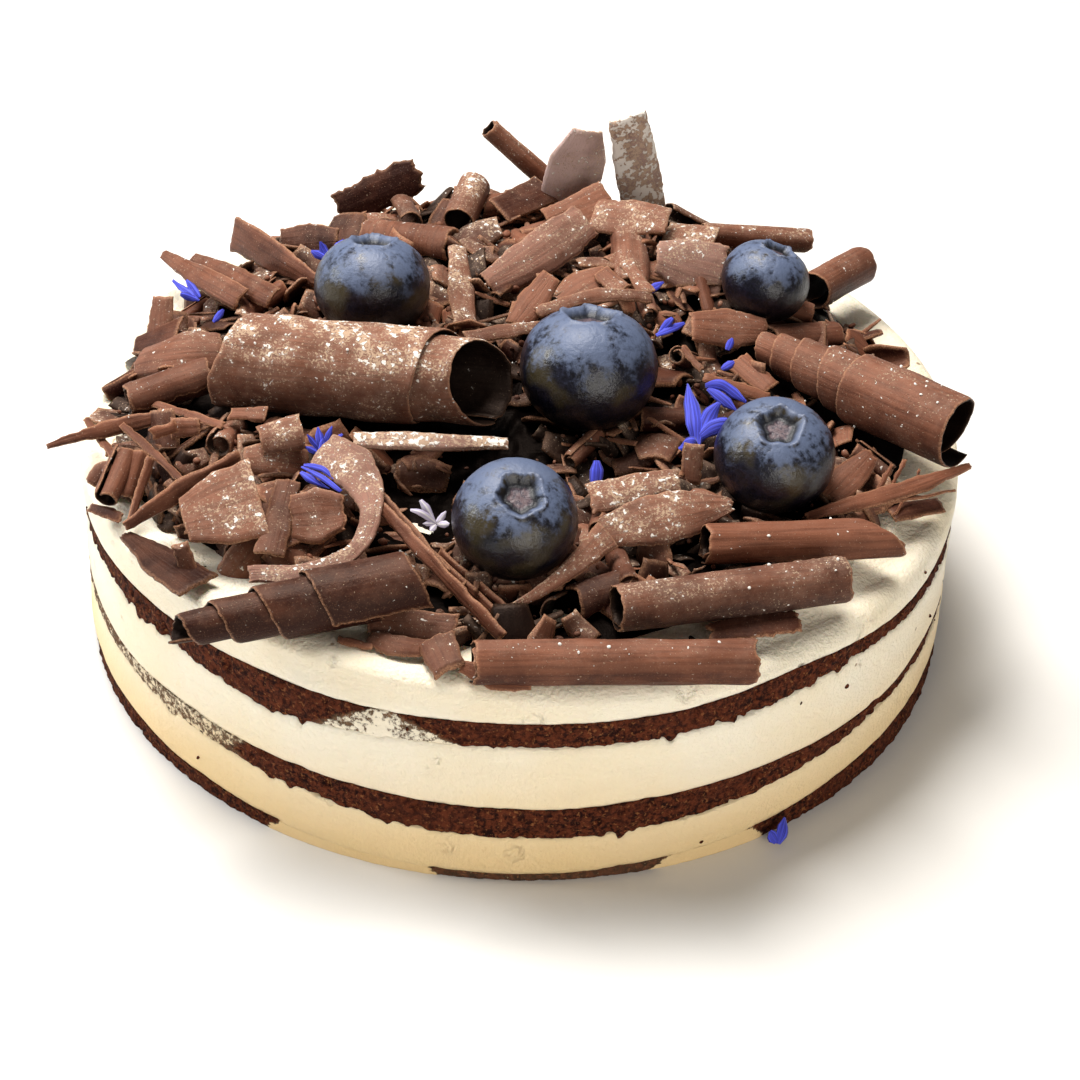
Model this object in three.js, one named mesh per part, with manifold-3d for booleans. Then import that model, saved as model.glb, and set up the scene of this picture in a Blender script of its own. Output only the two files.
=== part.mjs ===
// A layered chocolate and cream gateau, 16 cm across: three chocolate sponges and three creams,
// under a heap of chocolate shavings with rolled curls, broken shards, blueberries and petals.
// Millimetres, +Z up. The origin is the middle of the underside and the front faces -Y.

import * as THREE from 'three';
import { mergeVertices } from 'three/addons/utils/BufferGeometryUtils.js';
import Module from 'manifold-3d';

const wasm = await Module();
wasm.setup();

// Driving dimensions.
const cakeRadius = 80;
const creamHeight = 41; // top of the cream, away from its rim
const sideSegments = 48;
const heapSegments = 24;
const roomSegments = 10;
const heapRadius = 71;
const heapDepth = 4.6; // the shavings' depth near their edge
// Where the heap is deeper: a broad mound behind the middle and a low one at the front left.
const mounds = [
  { x: 0, y: 32, height: 9, spread: 34 },
  { x: -46, y: -24, height: 3.5, spread: 20 },
];
const smallShavings = 48;
const edgeShavings = 12; // more of them round the edge of the heap
const curlThickness = 0.7; // less than the pitch of every roll's turns
const shardThickness = 1.1;
const petalThickness = 0.6;
const clearance = 0.35; // the gap between neighbouring pieces
const up = new THREE.Vector3(0, 0, 1);

// ---- Colours ----

const material = (color, roughness) => new THREE.MeshStandardMaterial({ color, roughness, metalness: 0 });
const creamMaterial = material(0xf3e6c8, 0.55);
const spongeMaterial = material(0x3a1d18, 0.95);
const chocolateMaterial = material(0x5b3a2b, 0.55);
const darkChocolateMaterial = material(0x2e1a14, 0.6);
const berryMaterial = material(0x2b3350, 0.45);
const petalMaterial = material(0x3a2fb8, 0.7);

// ---- Small helpers ----

const radians = THREE.MathUtils.degToRad;
const lerp = THREE.MathUtils.lerp;
const vector = (point) => new THREE.Vector3(...point);

// A smooth swelling of height 1 at `centre` degrees round the cake, `spread` degrees wide.
function swell(angle, centre, spread) {
  return Math.exp((Math.cos(angle - radians(centre)) - 1) / radians(spread) ** 2);
}

// The turn that takes the axis of a turned shape, +Y, to `direction`.
function turnFromY(direction) {
  const turn = new THREE.Quaternion();
  return turn.setFromUnitVectors(new THREE.Vector3(0, 1, 0), direction.clone().normalize());
}

// Repeatable numbers from 0 to 1.
function randomFrom(seed) {
  let state = seed;
  return () => {
    state = (state * 1664525 + 1013904223) % 4294967296;
    return state / 4294967296;
  };
}

// The value at `t` along a list that runs evenly from 0 to 1.
function along(list, t) {
  const place = THREE.MathUtils.clamp(t, 0, 1) * (list.length - 1);
  const step = Math.min(Math.floor(place), list.length - 2);
  return lerp(list[step], list[step + 1], place - step);
}

function geometryFrom(points, faces) {
  const geometry = new THREE.BufferGeometry();
  const numbers = points.flatMap((point) => point.toArray());
  geometry.setAttribute('position', new THREE.Float32BufferAttribute(numbers, 3));
  geometry.setIndex(faces.flat());
  return geometry;
}

function solidFrom(geometry) {
  const bare = geometry.clone();
  bare.deleteAttribute('normal');
  bare.deleteAttribute('uv');
  const merged = mergeVertices(bare, 1e-4);
  return new wasm.Manifold(new wasm.Mesh({
    numProp: 3,
    vertProperties: Float32Array.from(merged.attributes.position.array),
    triVerts: Uint32Array.from(merged.index.array),
  }));
}

function geometryOf(solid) {
  const mesh = solid.getMesh();
  const geometry = new THREE.BufferGeometry();
  geometry.setAttribute('position', new THREE.Float32BufferAttribute(mesh.vertProperties, 3));
  geometry.setIndex(Array.from(mesh.triVerts));
  return geometry;
}

function largestBody(solid) {
  const bodies = solid.decompose();
  return bodies.reduce((best, body) => (body.volume() > best.volume() ? body : best));
}

// ---- Sponges and creams ----

// Heights at which the layers meet, round the side, from the underside up.
const meetings = {
  underside: () => 0,
  baseTop: (angle) => 3.6 - 2.2 * swell(angle, -90, 25),
  middleBottom: (angle) => 14.6 - 5.2 * swell(angle, -84, 28),
  middleTop: (angle) => 17.8 - 2 * swell(angle, -85, 30) - 1.2 * swell(angle, -150, 8)
    - 1.6 * swell(angle, -37, 9),
  upperBottom: (angle) => 29.2 - 2.2 * swell(angle, -120, 8) + 1.5 * swell(angle, -46, 8),
  upperTop: (angle) => 34 - 1.6 * swell(angle, -160, 10) + 1.4 * swell(angle, -54, 8)
    - 2.2 * swell(angle, -28, 10),
};

const rimHeight = (angle) => creamHeight + 2 * swell(angle, -115, 25) - 2.4 * swell(angle, -45, 35);

const anglesFor = (count) => Array.from({ length: count }, (_, step) => (2 * Math.PI * step) / count);
const sideAngles = anglesFor(sideSegments);

function ringAt(radius, height, angles = sideAngles) {
  return angles.map((angle) => {
    return new THREE.Vector3(radius * Math.cos(angle), radius * Math.sin(angle), height(angle));
  });
}

const meanHeight = (height) => sideAngles.reduce((sum, angle) => sum + height(angle), 0) / sideSegments;

// A closed stack of rings with a point in the middle of its two ends.
function stackGeometry(rings, lowerCentre, upperCentre) {
  const points = rings.flat();
  const faces = [];
  const last = rings.length - 1;
  const count = rings[0].length;
  const bottom = points.push(new THREE.Vector3(0, 0, lowerCentre)) - 1;
  const top = points.push(new THREE.Vector3(0, 0, upperCentre)) - 1;
  for (let step = 0; step < count; step += 1) {
    const next = (step + 1) % count;
    faces.push([bottom, next, step]);
    faces.push([top, last * count + step, last * count + next]);
    for (let ring = 0; ring < last; ring += 1) {
      const low = ring * count;
      const high = low + count;
      faces.push([low + step, low + next, high + next], [low + step, high + next, high + step]);
    }
  }
  return geometryFrom(points, faces);
}

function layerGeometry(lower, upper) {
  const rings = [ringAt(cakeRadius, lower), ringAt(cakeRadius, upper)];
  return stackGeometry(rings, meanHeight(lower), meanHeight(upper));
}

// The top cream has a rounded rim, sharp at the front left and sloping at the front right.
function topCreamGeometry(raise) {
  const drop = (angle) => 1.6 + 2 * swell(angle, -45, 35);
  const rings = [
    ringAt(cakeRadius + raise, meetings.upperTop),
    ringAt(cakeRadius + raise, (angle) => rimHeight(angle) - drop(angle) + raise),
    ringAt(cakeRadius - 1.2 + raise, (angle) => rimHeight(angle) - 0.3 * drop(angle) + raise),
    ringAt(cakeRadius - 4, (angle) => rimHeight(angle) + raise),
    ringAt(heapRadius - 2, () => creamHeight + raise),
  ];
  return stackGeometry(rings, meanHeight(meetings.upperTop), creamHeight + raise);
}

// ---- Bent sheets of chocolate and petals ----

// A closed sheet of even thickness on the surface point(u, v), u and v from 0 to 1.
// `margin` (in u and v) and a greater thickness make the room that the sheet needs.
function sheetGeometry(point, columns, rows, thickness, margin = [0, 0]) {
  const faces = [];
  const outer = [];
  const inner = [];
  const nudge = 0.01;
  for (let column = 0; column <= columns; column += 1) {
    for (let row = 0; row <= rows; row += 1) {
      const u = lerp(-margin[0], 1 + margin[0], column / columns);
      const v = lerp(-margin[1], 1 + margin[1], row / rows);
      const alongU = point(u + nudge, v).sub(point(u - nudge, v));
      const alongV = point(u, v + nudge).sub(point(u, v - nudge));
      const normal = alongU.cross(alongV).normalize().multiplyScalar(thickness / 2);
      const middle = point(u, v);
      outer.push(middle.clone().add(normal));
      inner.push(middle.clone().sub(normal));
    }
  }
  const count = outer.length;
  const at = (column, row) => column * (rows + 1) + row;
  const quad = (a, b, c, d) => faces.push([a, b, c], [a, c, d]);
  for (let column = 0; column < columns; column += 1) {
    for (let row = 0; row < rows; row += 1) {
      const corners = [at(column, row), at(column + 1, row), at(column + 1, row + 1), at(column, row + 1)];
      quad(...corners);
      const [a, b, c, d] = corners.map((corner) => corner + count);
      faces.push([a, c, b], [a, d, c]);
    }
  }
  for (let column = 0; column < columns; column += 1) {
    quad(at(column + 1, 0), at(column, 0), at(column, 0) + count, at(column + 1, 0) + count);
    quad(at(column, rows), at(column + 1, rows), at(column + 1, rows) + count, at(column, rows) + count);
  }
  for (let row = 0; row < rows; row += 1) {
    quad(at(0, row), at(0, row + 1), at(0, row + 1) + count, at(0, row) + count);
    quad(at(columns, row + 1), at(columns, row), at(columns, row) + count, at(columns, row + 1) + count);
  }
  return geometryFrom([...outer, ...inner], faces);
}

// A sheet rolled up about the line from `from` to `to`. It starts innermost at radii[0] and ends
// outermost at radii[1]. `width` is the sheet's own width: on a longer roll each turn is shifted
// along, towards `to`, or with `reversed` towards `from`, which shows as steps. The shift runs
// between the shares `hold` and `settle` of the turns, and with `easing` above 1 its steps grow.
// A slanted mouth falls short by `slant` on the side at `slantAngle`, over the last `slantReach`.
function rollSurface(roll) {
  const { from, to, radii, turns, width, seam = 0, hold = 0, settle = 1, easing = 1 } = roll;
  const start = vector(from);
  const axis = vector(to).sub(start);
  const length = axis.length();
  axis.normalize();
  const side = new THREE.Vector3().crossVectors(up, axis).normalize();
  const normal = new THREE.Vector3().crossVectors(axis, side);
  const sheetWidth = width ?? length;
  const { slant = 0, slantReach = 1, slantAngle = 140 } = roll;
  return (u, v) => {
    const angle = radians(seam) + 2 * Math.PI * turns * v;
    const radius = lerp(radii[0], radii[1], v);
    const progress = THREE.MathUtils.clamp((v - hold) / (settle - hold), 0, 1) ** easing;
    const shift = (length - sheetWidth) * (roll.reversed ? 1 - progress : progress);
    const place = shift + sheetWidth * u;
    const slanting = THREE.MathUtils.smoothstep(place, length - slantReach, length);
    const short = slant * (0.5 + 0.5 * Math.cos(angle - radians(slantAngle)));
    return start.clone()
      .addScaledVector(axis, place - slanting * short)
      .addScaledVector(side, radius * Math.cos(angle))
      .addScaledVector(normal, radius * Math.sin(angle));
  };
}

function rollGeometry(roll) {
  const rows = Math.round(roll.turns * (roll.rowsPerTurn ?? 12));
  return sheetGeometry(rollSurface(roll), roll.columns ?? 1, rows, roll.thickness ?? curlThickness);
}

// The filled outline of a roll, with its clearance.
function rollRoom({ from, to, radii, width, hold = 0, settle = 1, easing = 1, reversed = false }) {
  const axis = vector(to).sub(vector(from));
  const length = axis.length();
  const shift = width === undefined ? 0 : length - width;
  const faceted = 1 / Math.cos(Math.PI / roomSegments);
  const steps = [0, 0.25, 0.5, 0.75, 1].map((progress) => {
    const radius = lerp(radii[0], radii[1], progress === 1 ? 1 : lerp(hold, settle, progress));
    return [(radius + curlThickness / 2 + clearance) * faceted, shift * progress ** easing];
  });
  const [first, last] = [steps[0][0], steps.at(-1)[0]];
  const growing = shift > 0
    ? [[first, -clearance], ...steps.slice(1), [last, length + clearance]]
    : [[last, -clearance], [last, length + clearance]];
  const ordered = reversed ? growing.map(([radius, x]) => [radius, length - x]).reverse() : growing;
  const profile = [[0, -clearance], ...ordered, [0, length + clearance]];
  const room = new THREE.LatheGeometry(profile.map(([x, y]) => new THREE.Vector2(x, y)), roomSegments);
  room.applyQuaternion(turnFromY(axis));
  room.translate(...from);
  return room;
}

// A broken sheet along a path: `widths` run evenly along it, `facing` is roughly the way that its
// broad side looks, and `arc` bends it across its width, edges away from `facing`.
function shardSurface({ path, widths, facing = [0, -0.5, 1], arc = 30 }) {
  const points = path.map(vector);
  const route = points.length > 2
    ? new THREE.CatmullRomCurve3(points)
    : new THREE.LineCurve3(points[0], points[1]);
  const length = route.getLength();
  const look = vector(facing);
  return (u, v) => {
    const t = THREE.MathUtils.clamp(u, 0, 1);
    const tangent = route.getTangentAt(t);
    const middle = route.getPointAt(t).addScaledVector(tangent, (u - t) * length);
    const side = new THREE.Vector3().crossVectors(look, tangent).normalize();
    const normal = new THREE.Vector3().crossVectors(tangent, side);
    const width = along(widths, u);
    const bend = radians(arc);
    const across = bend * (v - 0.5);
    const radius = width / bend;
    return middle
      .addScaledVector(side, radius * Math.sin(across))
      .addScaledVector(normal, radius * (Math.cos(across) - 1));
  };
}

function shardGeometry(shard, room = false) {
  const columns = shard.columns ?? Math.max(2, shard.path.length, shard.widths.length - 1);
  const rows = shard.rows ?? (shard.arc > 120 ? 6 : 2);
  const thickness = shard.thickness ?? shardThickness;
  if (!room) return sheetGeometry(shardSurface(shard), columns, rows, thickness);
  const length = vector(shard.path[0]).distanceTo(vector(shard.path.at(-1)));
  const margin = [clearance / length, clearance / Math.max(...shard.widths)];
  return sheetGeometry(shardSurface(shard), columns, rows, thickness + 2 * clearance, margin);
}

// ---- Blueberries ----

// Half the outline of a berry of radius 1, up its round side and down into the star-shaped eye.
const berryProfile = [
  ...[-90, -60, -35, -12, 12, 34, 52].map((angle) => {
    return [Math.cos(radians(angle)), 0.92 * Math.sin(radians(angle))];
  }),
  [0.47, 0.83], [0.4, 0.93], [0.3, 0.87], [0.24, 0.7], [0, 0.66],
];

// `look` is the way that the eye faces.
function berryGeometry({ centre, radius, look }) {
  const profile = berryProfile.map(([x, y]) => new THREE.Vector2(x < 1e-6 ? 0 : x * radius, y * radius));
  const berry = new THREE.LatheGeometry(profile, 16);
  berry.applyQuaternion(turnFromY(vector(look)));
  berry.translate(...centre);
  return berry;
}

// A berry's room is a plain ball with few sides.
function berryRoom({ centre, radius }) {
  const faceted = 1 / Math.cos(Math.PI / roomSegments);
  const room = new THREE.SphereGeometry((radius + clearance) * faceted, roomSegments, 8);
  room.translate(...centre);
  return room;
}

const berries = {
  blueberry_centre: { centre: [11.6, -9.5, 57.5], radius: 12.2, look: [0, 0.25, 1] },
  blueberry_front: { centre: [-0.5, -50, 53.5], radius: 10.4, look: [0.1, -0.45, 1] },
  blueberry_right: { centre: [43.5, -29, 53.5], radius: 10.4, look: [0.02, -0.35, 1] },
  blueberry_back_right: { centre: [44.5, 22.5, 57.2], radius: 8.3, look: [0.35, 0.2, 1] },
  blueberry_back_left: { centre: [-28, 14, 58.5], radius: 10.6, look: [0, 0.3, 1] },
};

// ---- Rolled curls ----

const rolls = {
  curl_large: {
    from: [-54, -10, 57.5], to: [-4, -16.5, 58.3], radii: [6.5, 8.6], turns: 2.2, width: 37,
    seam: -100, hold: 0.45, settle: 0.8, reversed: true, slant: 9.5, slantReach: 17,
    columns: 2, rowsPerTurn: 14,
  },
  cone_right: {
    from: [42.5, 10, 51.5], to: [77, -19.5, 53], radii: [2.1, 6.6], turns: 5, width: 23, easing: 1.4,
    settle: 0.88, seam: -60,
  },
  cone_left: {
    from: [-56, -72, 44.8], to: [-14, -62, 49.5], radii: [1.8, 5.6], turns: 4, width: 17, easing: 1.4,
    seam: 200,
  },
  roll_front: { from: [-7, -77.7, 45.3], to: [39.5, -73, 43.8], radii: [2.3, 3.7], turns: 1.6, seam: -20 },
  roll_middle: { from: [16, -65, 47.2], to: [55, -53.5, 46.3], radii: [2.9, 4.2], turns: 1.5, seam: -150 },
  roll_right: { from: [30.5, -48.5, 48.6], to: [66, -40.5, 45.6], radii: [2.1, 3.3], turns: 1.3, seam: 60 },
  roll_back_right: { from: [54, 29, 51.5], to: [65, 42.5, 50], radii: [2.8, 4], turns: 1.3, seam: -90 },
  roll_left: { from: [-70, -14, 49.6], to: [-55, -8, 52.5], radii: [2.3, 3.5], turns: 1.3, seam: 90 },
  roll_left_small: { from: [-70, -39, 46.5], to: [-67.5, -29, 50], radii: [1.3, 2.3], turns: 1.1, seam: 30 },
  roll_back_tall: { from: [5.7, 66, 50.9], to: [-8.5, 66, 64.3], radii: [0.9, 1.9], turns: 1.1, seam: -90 },
  roll_back_small: { from: [-13.5, 44, 55], to: [-10.5, 55, 57.8], radii: [2.2, 3.2], turns: 1.1, seam: 180 },
  roll_back_bar: { from: [33.5, 46.5, 53], to: [55.5, 51, 49.6], radii: [1.4, 2.4], turns: 1.1, seam: -90 },
};

// ---- Shards that stand on their own ----

const shards = {
  shard_tall: {
    path: [[24, 56, 48], [18.5, 54, 74]], widths: [8, 8.5, 7], facing: [0.2, -1, 0.3], arc: 50,
  },
  shard_back: {
    path: [[6.5, 54.5, 49.5], [11, 53, 71]], widths: [8, 12, 12, 6], facing: [0.3, -1, 0.5], arc: 40,
  },
  shard_back_left: {
    path: [[-38.5, 58, 48.5], [-20.5, 60, 57]], widths: [7, 10, 8], facing: [0.3, -1, 0.6], thickness: 1.6,
  },
  gutter_back_left: {
    path: [[-32, 40.5, 55.5], [-14.5, 33, 58.5]], widths: [10, 11], facing: [0, -0.4, 1], arc: 190,
  },
  blade_back: {
    path: [[-7.5, 20, 55.5], [2, 27, 58.5], [11.5, 36.5, 61.5]], widths: [5, 9, 10, 8], facing: [0, -1, 0.9],
    arc: 60,
  },
  gutter_back: {
    path: [[19, 42, 58.5], [20, 23, 56.5]], widths: [10, 9], facing: [0, -0.4, 1], arc: 170,
  },
  plate_back_right: {
    path: [[24, 31.5, 56.5], [38, 30.5, 54]], widths: [6, 12, 11], facing: [0.1, -1, 1], arc: 40,
  },
  spike_left: {
    path: [[-57.5, 47, 49.5], [-39, 23, 53.5]], widths: [8, 7, 3], facing: [-0.5, -1, 0.4], arc: 20,
  },
  fold_left: {
    path: [[-70.5, 41.5, 47.5], [-61.5, 28.5, 50.5], [-52.5, 19, 51.5]], widths: [2, 5, 6],
    facing: [-0.5, -0.6, 1], arc: 60,
  },
  arch_left: {
    path: [[-70.5, 4.5, 47], [-62.5, 0.5, 52.5], [-54, 1.5, 52.5]], widths: [9, 12, 11],
    facing: [0, -0.3, 1], arc: 100,
  },
  splinter_left: {
    path: [[-83.5, -20.5, 44.2], [-74.5, -21, 48], [-60.5, -17.5, 50.5]], widths: [1.2, 3.6, 3.2],
    facing: [0, -1, 1],
  },
  blade_left: {
    path: [[-66.5, -45, 45.2], [-57, -41, 50.5], [-47, -35, 53.5]], widths: [2, 4.5, 4],
    facing: [0.3, -1, 0.3],
  },
  plate_dusty: {
    path: [[-56, -47.5, 49], [-43, -45, 53]], widths: [8, 14, 15], facing: [0, -0.6, 1], arc: 15,
  },
  shard_front_left: {
    path: [[-66.5, -44.5, 43.8], [-52, -59, 44.2]], widths: [2, 8, 9], facing: [0, 0, 1], arc: 8,
  },
  plate_front_left: {
    path: [[-38.5, -46.5, 49.5], [-28.5, -47, 51.5]], widths: [8, 11, 6], facing: [0, -0.8, 1], arc: 10,
  },
  ribbon_curl: {
    path: [
      [-34.5, -34, 55], [-28, -39.5, 55.2], [-24.5, -47.5, 53.5], [-26, -56, 51.5], [-32.5, -62, 50.5],
      [-44, -62.5, 49.5],
    ],
    widths: [9, 9, 4, 3.5, 4, 3], facing: [0, -0.5, 1], columns: 9,
  },
  bar_dusty: {
    path: [[-29, -27.5, 52.8], [-2, -26, 52]], widths: [3.5, 4, 2.5], facing: [0, -0.5, 1], thickness: 1.4,
  },
  strip_front: {
    path: [[-25.5, -43, 53.5], [-13.5, -58.5, 50], [-1.5, -71, 44.8]], widths: [2.5, 3.5, 3],
    facing: [-0.7, -0.6, 0.4],
  },
  blade_front: {
    path: [[-3, -65.5, 45.2], [6.5, -60, 48.6], [15.5, -49.5, 51]], widths: [1, 3, 6],
    facing: [0.2, -0.8, 1], arc: 40,
  },
  plate_middle_upper: {
    path: [[11.5, -38.5, 50], [27.5, -35, 52]], widths: [7, 7, 4], facing: [0, -0.5, 1],
  },
  plate_middle_lower: {
    path: [[13.5, -47, 49], [24.5, -44.5, 51], [36.5, -39.5, 50.5]], widths: [5, 10, 9, 2],
    facing: [0, -0.8, 1], arc: 50,
  },
  chip_front: {
    path: [[-24, -67, 44.5], [-9, -69, 45.2]], widths: [4, 6.5, 6], facing: [0, -0.6, 1], arc: 30,
  },
  sheet_front_right: {
    path: [[31, -65.5, 43], [47.5, -60.5, 42.6]], widths: [4, 7, 5], facing: [0, -0.2, 1], arc: 8,
  },
  plate_right: {
    path: [[30, 10.5, 54.5], [45, 12.5, 52.5]], widths: [6, 9, 5], facing: [0, -0.7, 1], arc: 50,
  },
  gutter_right: {
    path: [[45.5, 13, 51.8], [59.5, 19, 49.8]], widths: [9, 8], facing: [0, -0.3, 1], arc: 170,
  },
  strand_right: {
    path: [[48.5, -38, 46.8], [64, -31.5, 48], [79, -22.5, 48.2]], widths: [1.5, 4, 4, 1.2],
    facing: [-0.2, -0.6, 1],
  },
};

// Shards that are fused to the heap.
const fusedShards = [
  { path: [[-10.5, 7, 54], [-13, 29, 58.5]], widths: [5, 6, 4], facing: [0.3, -0.6, 1], arc: 60 },
  { path: [[-2, 8, 53.5], [5, 18, 59]], widths: [4, 7, 4] },
  { path: [[-48, 44, 48.5], [-35.5, 36.5, 54.5]], widths: [7, 9, 5], facing: [0, -1, 0.7] },
  { path: [[-64.5, 40, 48], [-46.5, 17.5, 52.5]], widths: [2, 6, 5], facing: [-0.4, -0.6, 1], arc: 60 },
  { path: [[-68, 11.5, 44], [-67, 18.5, 52.5]], widths: [6, 5], facing: [-0.5, -1, 0.2] },
  { path: [[-77, -15, 47], [-69, -28, 46]], widths: [2, 2.4] },
  { path: [[-70, -20, 49.5], [-57, -36, 49]], widths: [2, 2.4] },
  { path: [[-65, -15, 50.5], [-51, -25, 52]], widths: [2.4, 2] },
  { path: [[-41, -39.5, 51], [-37, -51, 47]], widths: [8, 9], arc: 70 },
  { path: [[-22, -45, 50], [1.5, -69, 43.5]], widths: [2.6, 2.2], facing: [-0.7, -0.6, 0.4] },
  { path: [[-13, -52, 48], [4, -68, 43.5]], widths: [2.2, 2], facing: [-0.7, -0.6, 0.4] },
  { path: [[30, -28.5, 46], [29.5, -26, 53]], widths: [5, 4.5], facing: [0, -1, 0.4] },
  { path: [[-13, -71, 45], [-10, -77, 44]], widths: [7, 6], facing: [0, -1, 1], thickness: 2 },
  { path: [[9, -60.5, 45.5], [20.5, -56.5, 46.5]], widths: [10, 9], arc: 190, rows: 5 },
  { path: [[53, -30, 45], [61.5, -21.5, 49]], widths: [6, 7, 3] },
  { path: [[64, -30, 42.8], [74, -27, 43.2]], widths: [6, 5], facing: [0, 0, 1] },
  { path: [[38.5, 5, 50.5], [45, -2.5, 49]], widths: [6, 5] },
  { path: [[32, -3, 51.5], [44.5, -6, 49.5]], widths: [2.6, 3] },
  { path: [[57, 16, 46], [68, 20.5, 43]], widths: [6, 3], facing: [0, 0, 1] },
  { path: [[-11, 2.5, 54], [4, 6.5, 55]], widths: [4, 3] },
  { path: [[2, 9.5, 55], [23.5, 17.5, 54.5]], widths: [3, 4, 3] },
];

// ---- Petals ----

const petals = {
  petal_right: {
    path: [[29.5, -21, 49.5], [31.5, -8, 54]], widths: [2, 6, 8, 3], facing: [0, -1, 0.8], arc: 40,
  },
  petal_right_small: {
    path: [[33, -8.5, 53], [40, -11.5, 52]], widths: [2, 5, 3], facing: [0, -0.8, 1], arc: 30,
  },
  petal_middle: { path: [[13, -36, 50], [13, -33, 54]], widths: [2, 3, 1.5], facing: [0, -1, 0.4] },
  petal_front_left: {
    path: [[-36.5, -33.5, 52], [-35.5, -29, 56]], widths: [2, 5, 6, 4], facing: [0, -1, 0.6],
  },
  petal_front_dark: {
    path: [[-37.5, -38, 53], [-30, -43.5, 52.5]], widths: [1.5, 3.5, 2], facing: [0, -0.8, 1],
  },
  petal_left: { path: [[-66.5, 27, 50.5], [-60.5, 17, 51]], widths: [2, 4, 2], facing: [0, -0.6, 1] },
  petal_back_left: {
    path: [[-40.5, 29.5, 54.5], [-33, 29.5, 58]], widths: [2, 4, 5, 2], facing: [0, -0.8, 1],
  },
  petal_base: { path: [[46.3, -69.6, 0.8], [47.4, -65.9, 4]], widths: [3, 4, 2], facing: [0.6, -0.8, 0.8] },
};

// ---- The heap of shavings ----

// The height of the heap's surface, away from its edge.
function heapSurface(x, y) {
  return mounds.reduce((height, mound) => {
    const away = Math.hypot(x - mound.x, y - mound.y) / mound.spread;
    return height + mound.height * Math.exp(-away * away / 2);
  }, creamHeight + heapDepth);
}

function heapCoreGeometry() {
  const random = randomFrom(7);
  const angles = anglesFor(heapSegments);
  const reach = (angle) => heapRadius + 4 * swell(angle, -165, 20) - 4 * swell(angle, -125, 12);
  const ring = (share, fullness) => angles.map((angle) => {
    const x = share * reach(angle) * Math.cos(angle);
    const y = share * reach(angle) * Math.sin(angle);
    const rough = 1.6 * (random() - 0.5);
    return new THREE.Vector3(x, y, lerp(creamHeight + 1, heapSurface(x, y), fullness) + rough * fullness);
  });
  const underside = ringAt(heapRadius - 6, () => creamHeight + clearance, angles);
  const rings = [underside, ring(1, 0), ring(0.93, 0.8), ring(0.7, 1), ring(0.35, 1)];
  return stackGeometry(rings, creamHeight + clearance, heapSurface(0, 0));
}

// Small shavings by the golden angle, each leaning its own way and half sunk in the core.
function smallShaving(step, random) {
  const goldenAngle = Math.PI * (3 - Math.sqrt(5));
  const atEdge = step >= smallShavings;
  const distance = atEdge ? heapRadius : (heapRadius - 3) * Math.sqrt((step + 0.5) / smallShavings);
  const x = distance * Math.cos(step * goldenAngle);
  const y = distance * Math.sin(step * goldenAngle);
  const turn = 2 * Math.PI * random();
  const half = 4.5 + 3.5 * random();
  const lean = 1.3 * half * (random() - 0.5);
  const width = 4 + 4 * random();
  const z = atEdge ? creamHeight + 2.4 : heapSurface(x, y) + (distance > heapRadius - 8 ? -1.2 : 0.8);
  const offset = [half * Math.cos(turn), half * Math.sin(turn), lean];
  return {
    path: [[x - offset[0], y - offset[1], z - lean], [x + offset[0], y + offset[1], z + lean]],
    widths: [width, width * (0.5 + 0.6 * random())],
    facing: [random() - 0.5, random() - 0.7, 0.7 + random()],
    arc: 50,
    rows: 2,
    columns: 1,
  };
}

// ---- Assembly ----

const cake = new THREE.Group();

function addNode(name, geometry, nodeMaterial) {
  const mesh = new THREE.Mesh(geometry, nodeMaterial);
  mesh.name = name;
  cake.add(mesh);
}

const { underside, baseTop, middleBottom, middleTop, upperBottom, upperTop } = meetings;
addNode('sponge_base', layerGeometry(underside, baseTop), spongeMaterial);
addNode('cream_lower', layerGeometry(baseTop, middleBottom), creamMaterial);
addNode('sponge_middle', layerGeometry(middleBottom, middleTop), spongeMaterial);
addNode('cream_middle', layerGeometry(middleTop, upperBottom), creamMaterial);
addNode('sponge_upper', layerGeometry(upperBottom, upperTop), spongeMaterial);
addNode('cream_top', topCreamGeometry(0), creamMaterial);

// Each piece in turn is cut back where it would come too near one that is already placed.
const creamRoom = solidFrom(topCreamGeometry(clearance));
const rooms = [];

function apart(a, b) {
  const first = a.boundingBox();
  const second = b.boundingBox();
  return [0, 1, 2].some((axis) => first.min[axis] > second.max[axis] || first.max[axis] < second.min[axis]);
}

function fitted(solid, tolerance) {
  const near = rooms.filter((room) => !apart(solid, room));
  const cut = near.reduce((rest, room) => rest.subtract(room), solid.subtract(creamRoom));
  return largestBody(cut.simplify(tolerance));
}

function placePiece(name, geometry, room, nodeMaterial) {
  addNode(name, geometryOf(fitted(solidFrom(geometry), 0.02)), nodeMaterial);
  rooms.push(solidFrom(room));
}

for (const [name, berry] of Object.entries(berries)) {
  placePiece(name, berryGeometry(berry), berryRoom(berry), berryMaterial);
}
for (const [name, roll] of Object.entries(rolls)) {
  placePiece(name, rollGeometry(roll), rollRoom(roll), chocolateMaterial);
}
for (const [name, shard] of Object.entries(shards)) {
  placePiece(name, shardGeometry(shard), shardGeometry(shard, true), chocolateMaterial);
}
for (const [name, petal] of Object.entries(petals)) {
  const wavy = { arc: 30, rows: 2, thickness: petalThickness, ...petal };
  placePiece(name, shardGeometry(wavy), shardGeometry(wavy, true), petalMaterial);
}

const random = randomFrom(31);
const loose = Array.from({ length: smallShavings + edgeShavings }, (_, step) => smallShaving(step, random));
const heapPieces = [...fusedShards, ...loose].map((shard) => solidFrom(shardGeometry(shard)));
const heap = wasm.Manifold.union([solidFrom(heapCoreGeometry()), ...heapPieces]);
addNode('shavings_heap', geometryOf(fitted(heap, 0.1)), darkChocolateMaterial);

export default cake;
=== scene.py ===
# A layered chocolate and cream cake under shaved chocolate, blueberries and petals.
import math

import bpy
import numpy as np
from mathutils import Matrix, Vector


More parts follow.
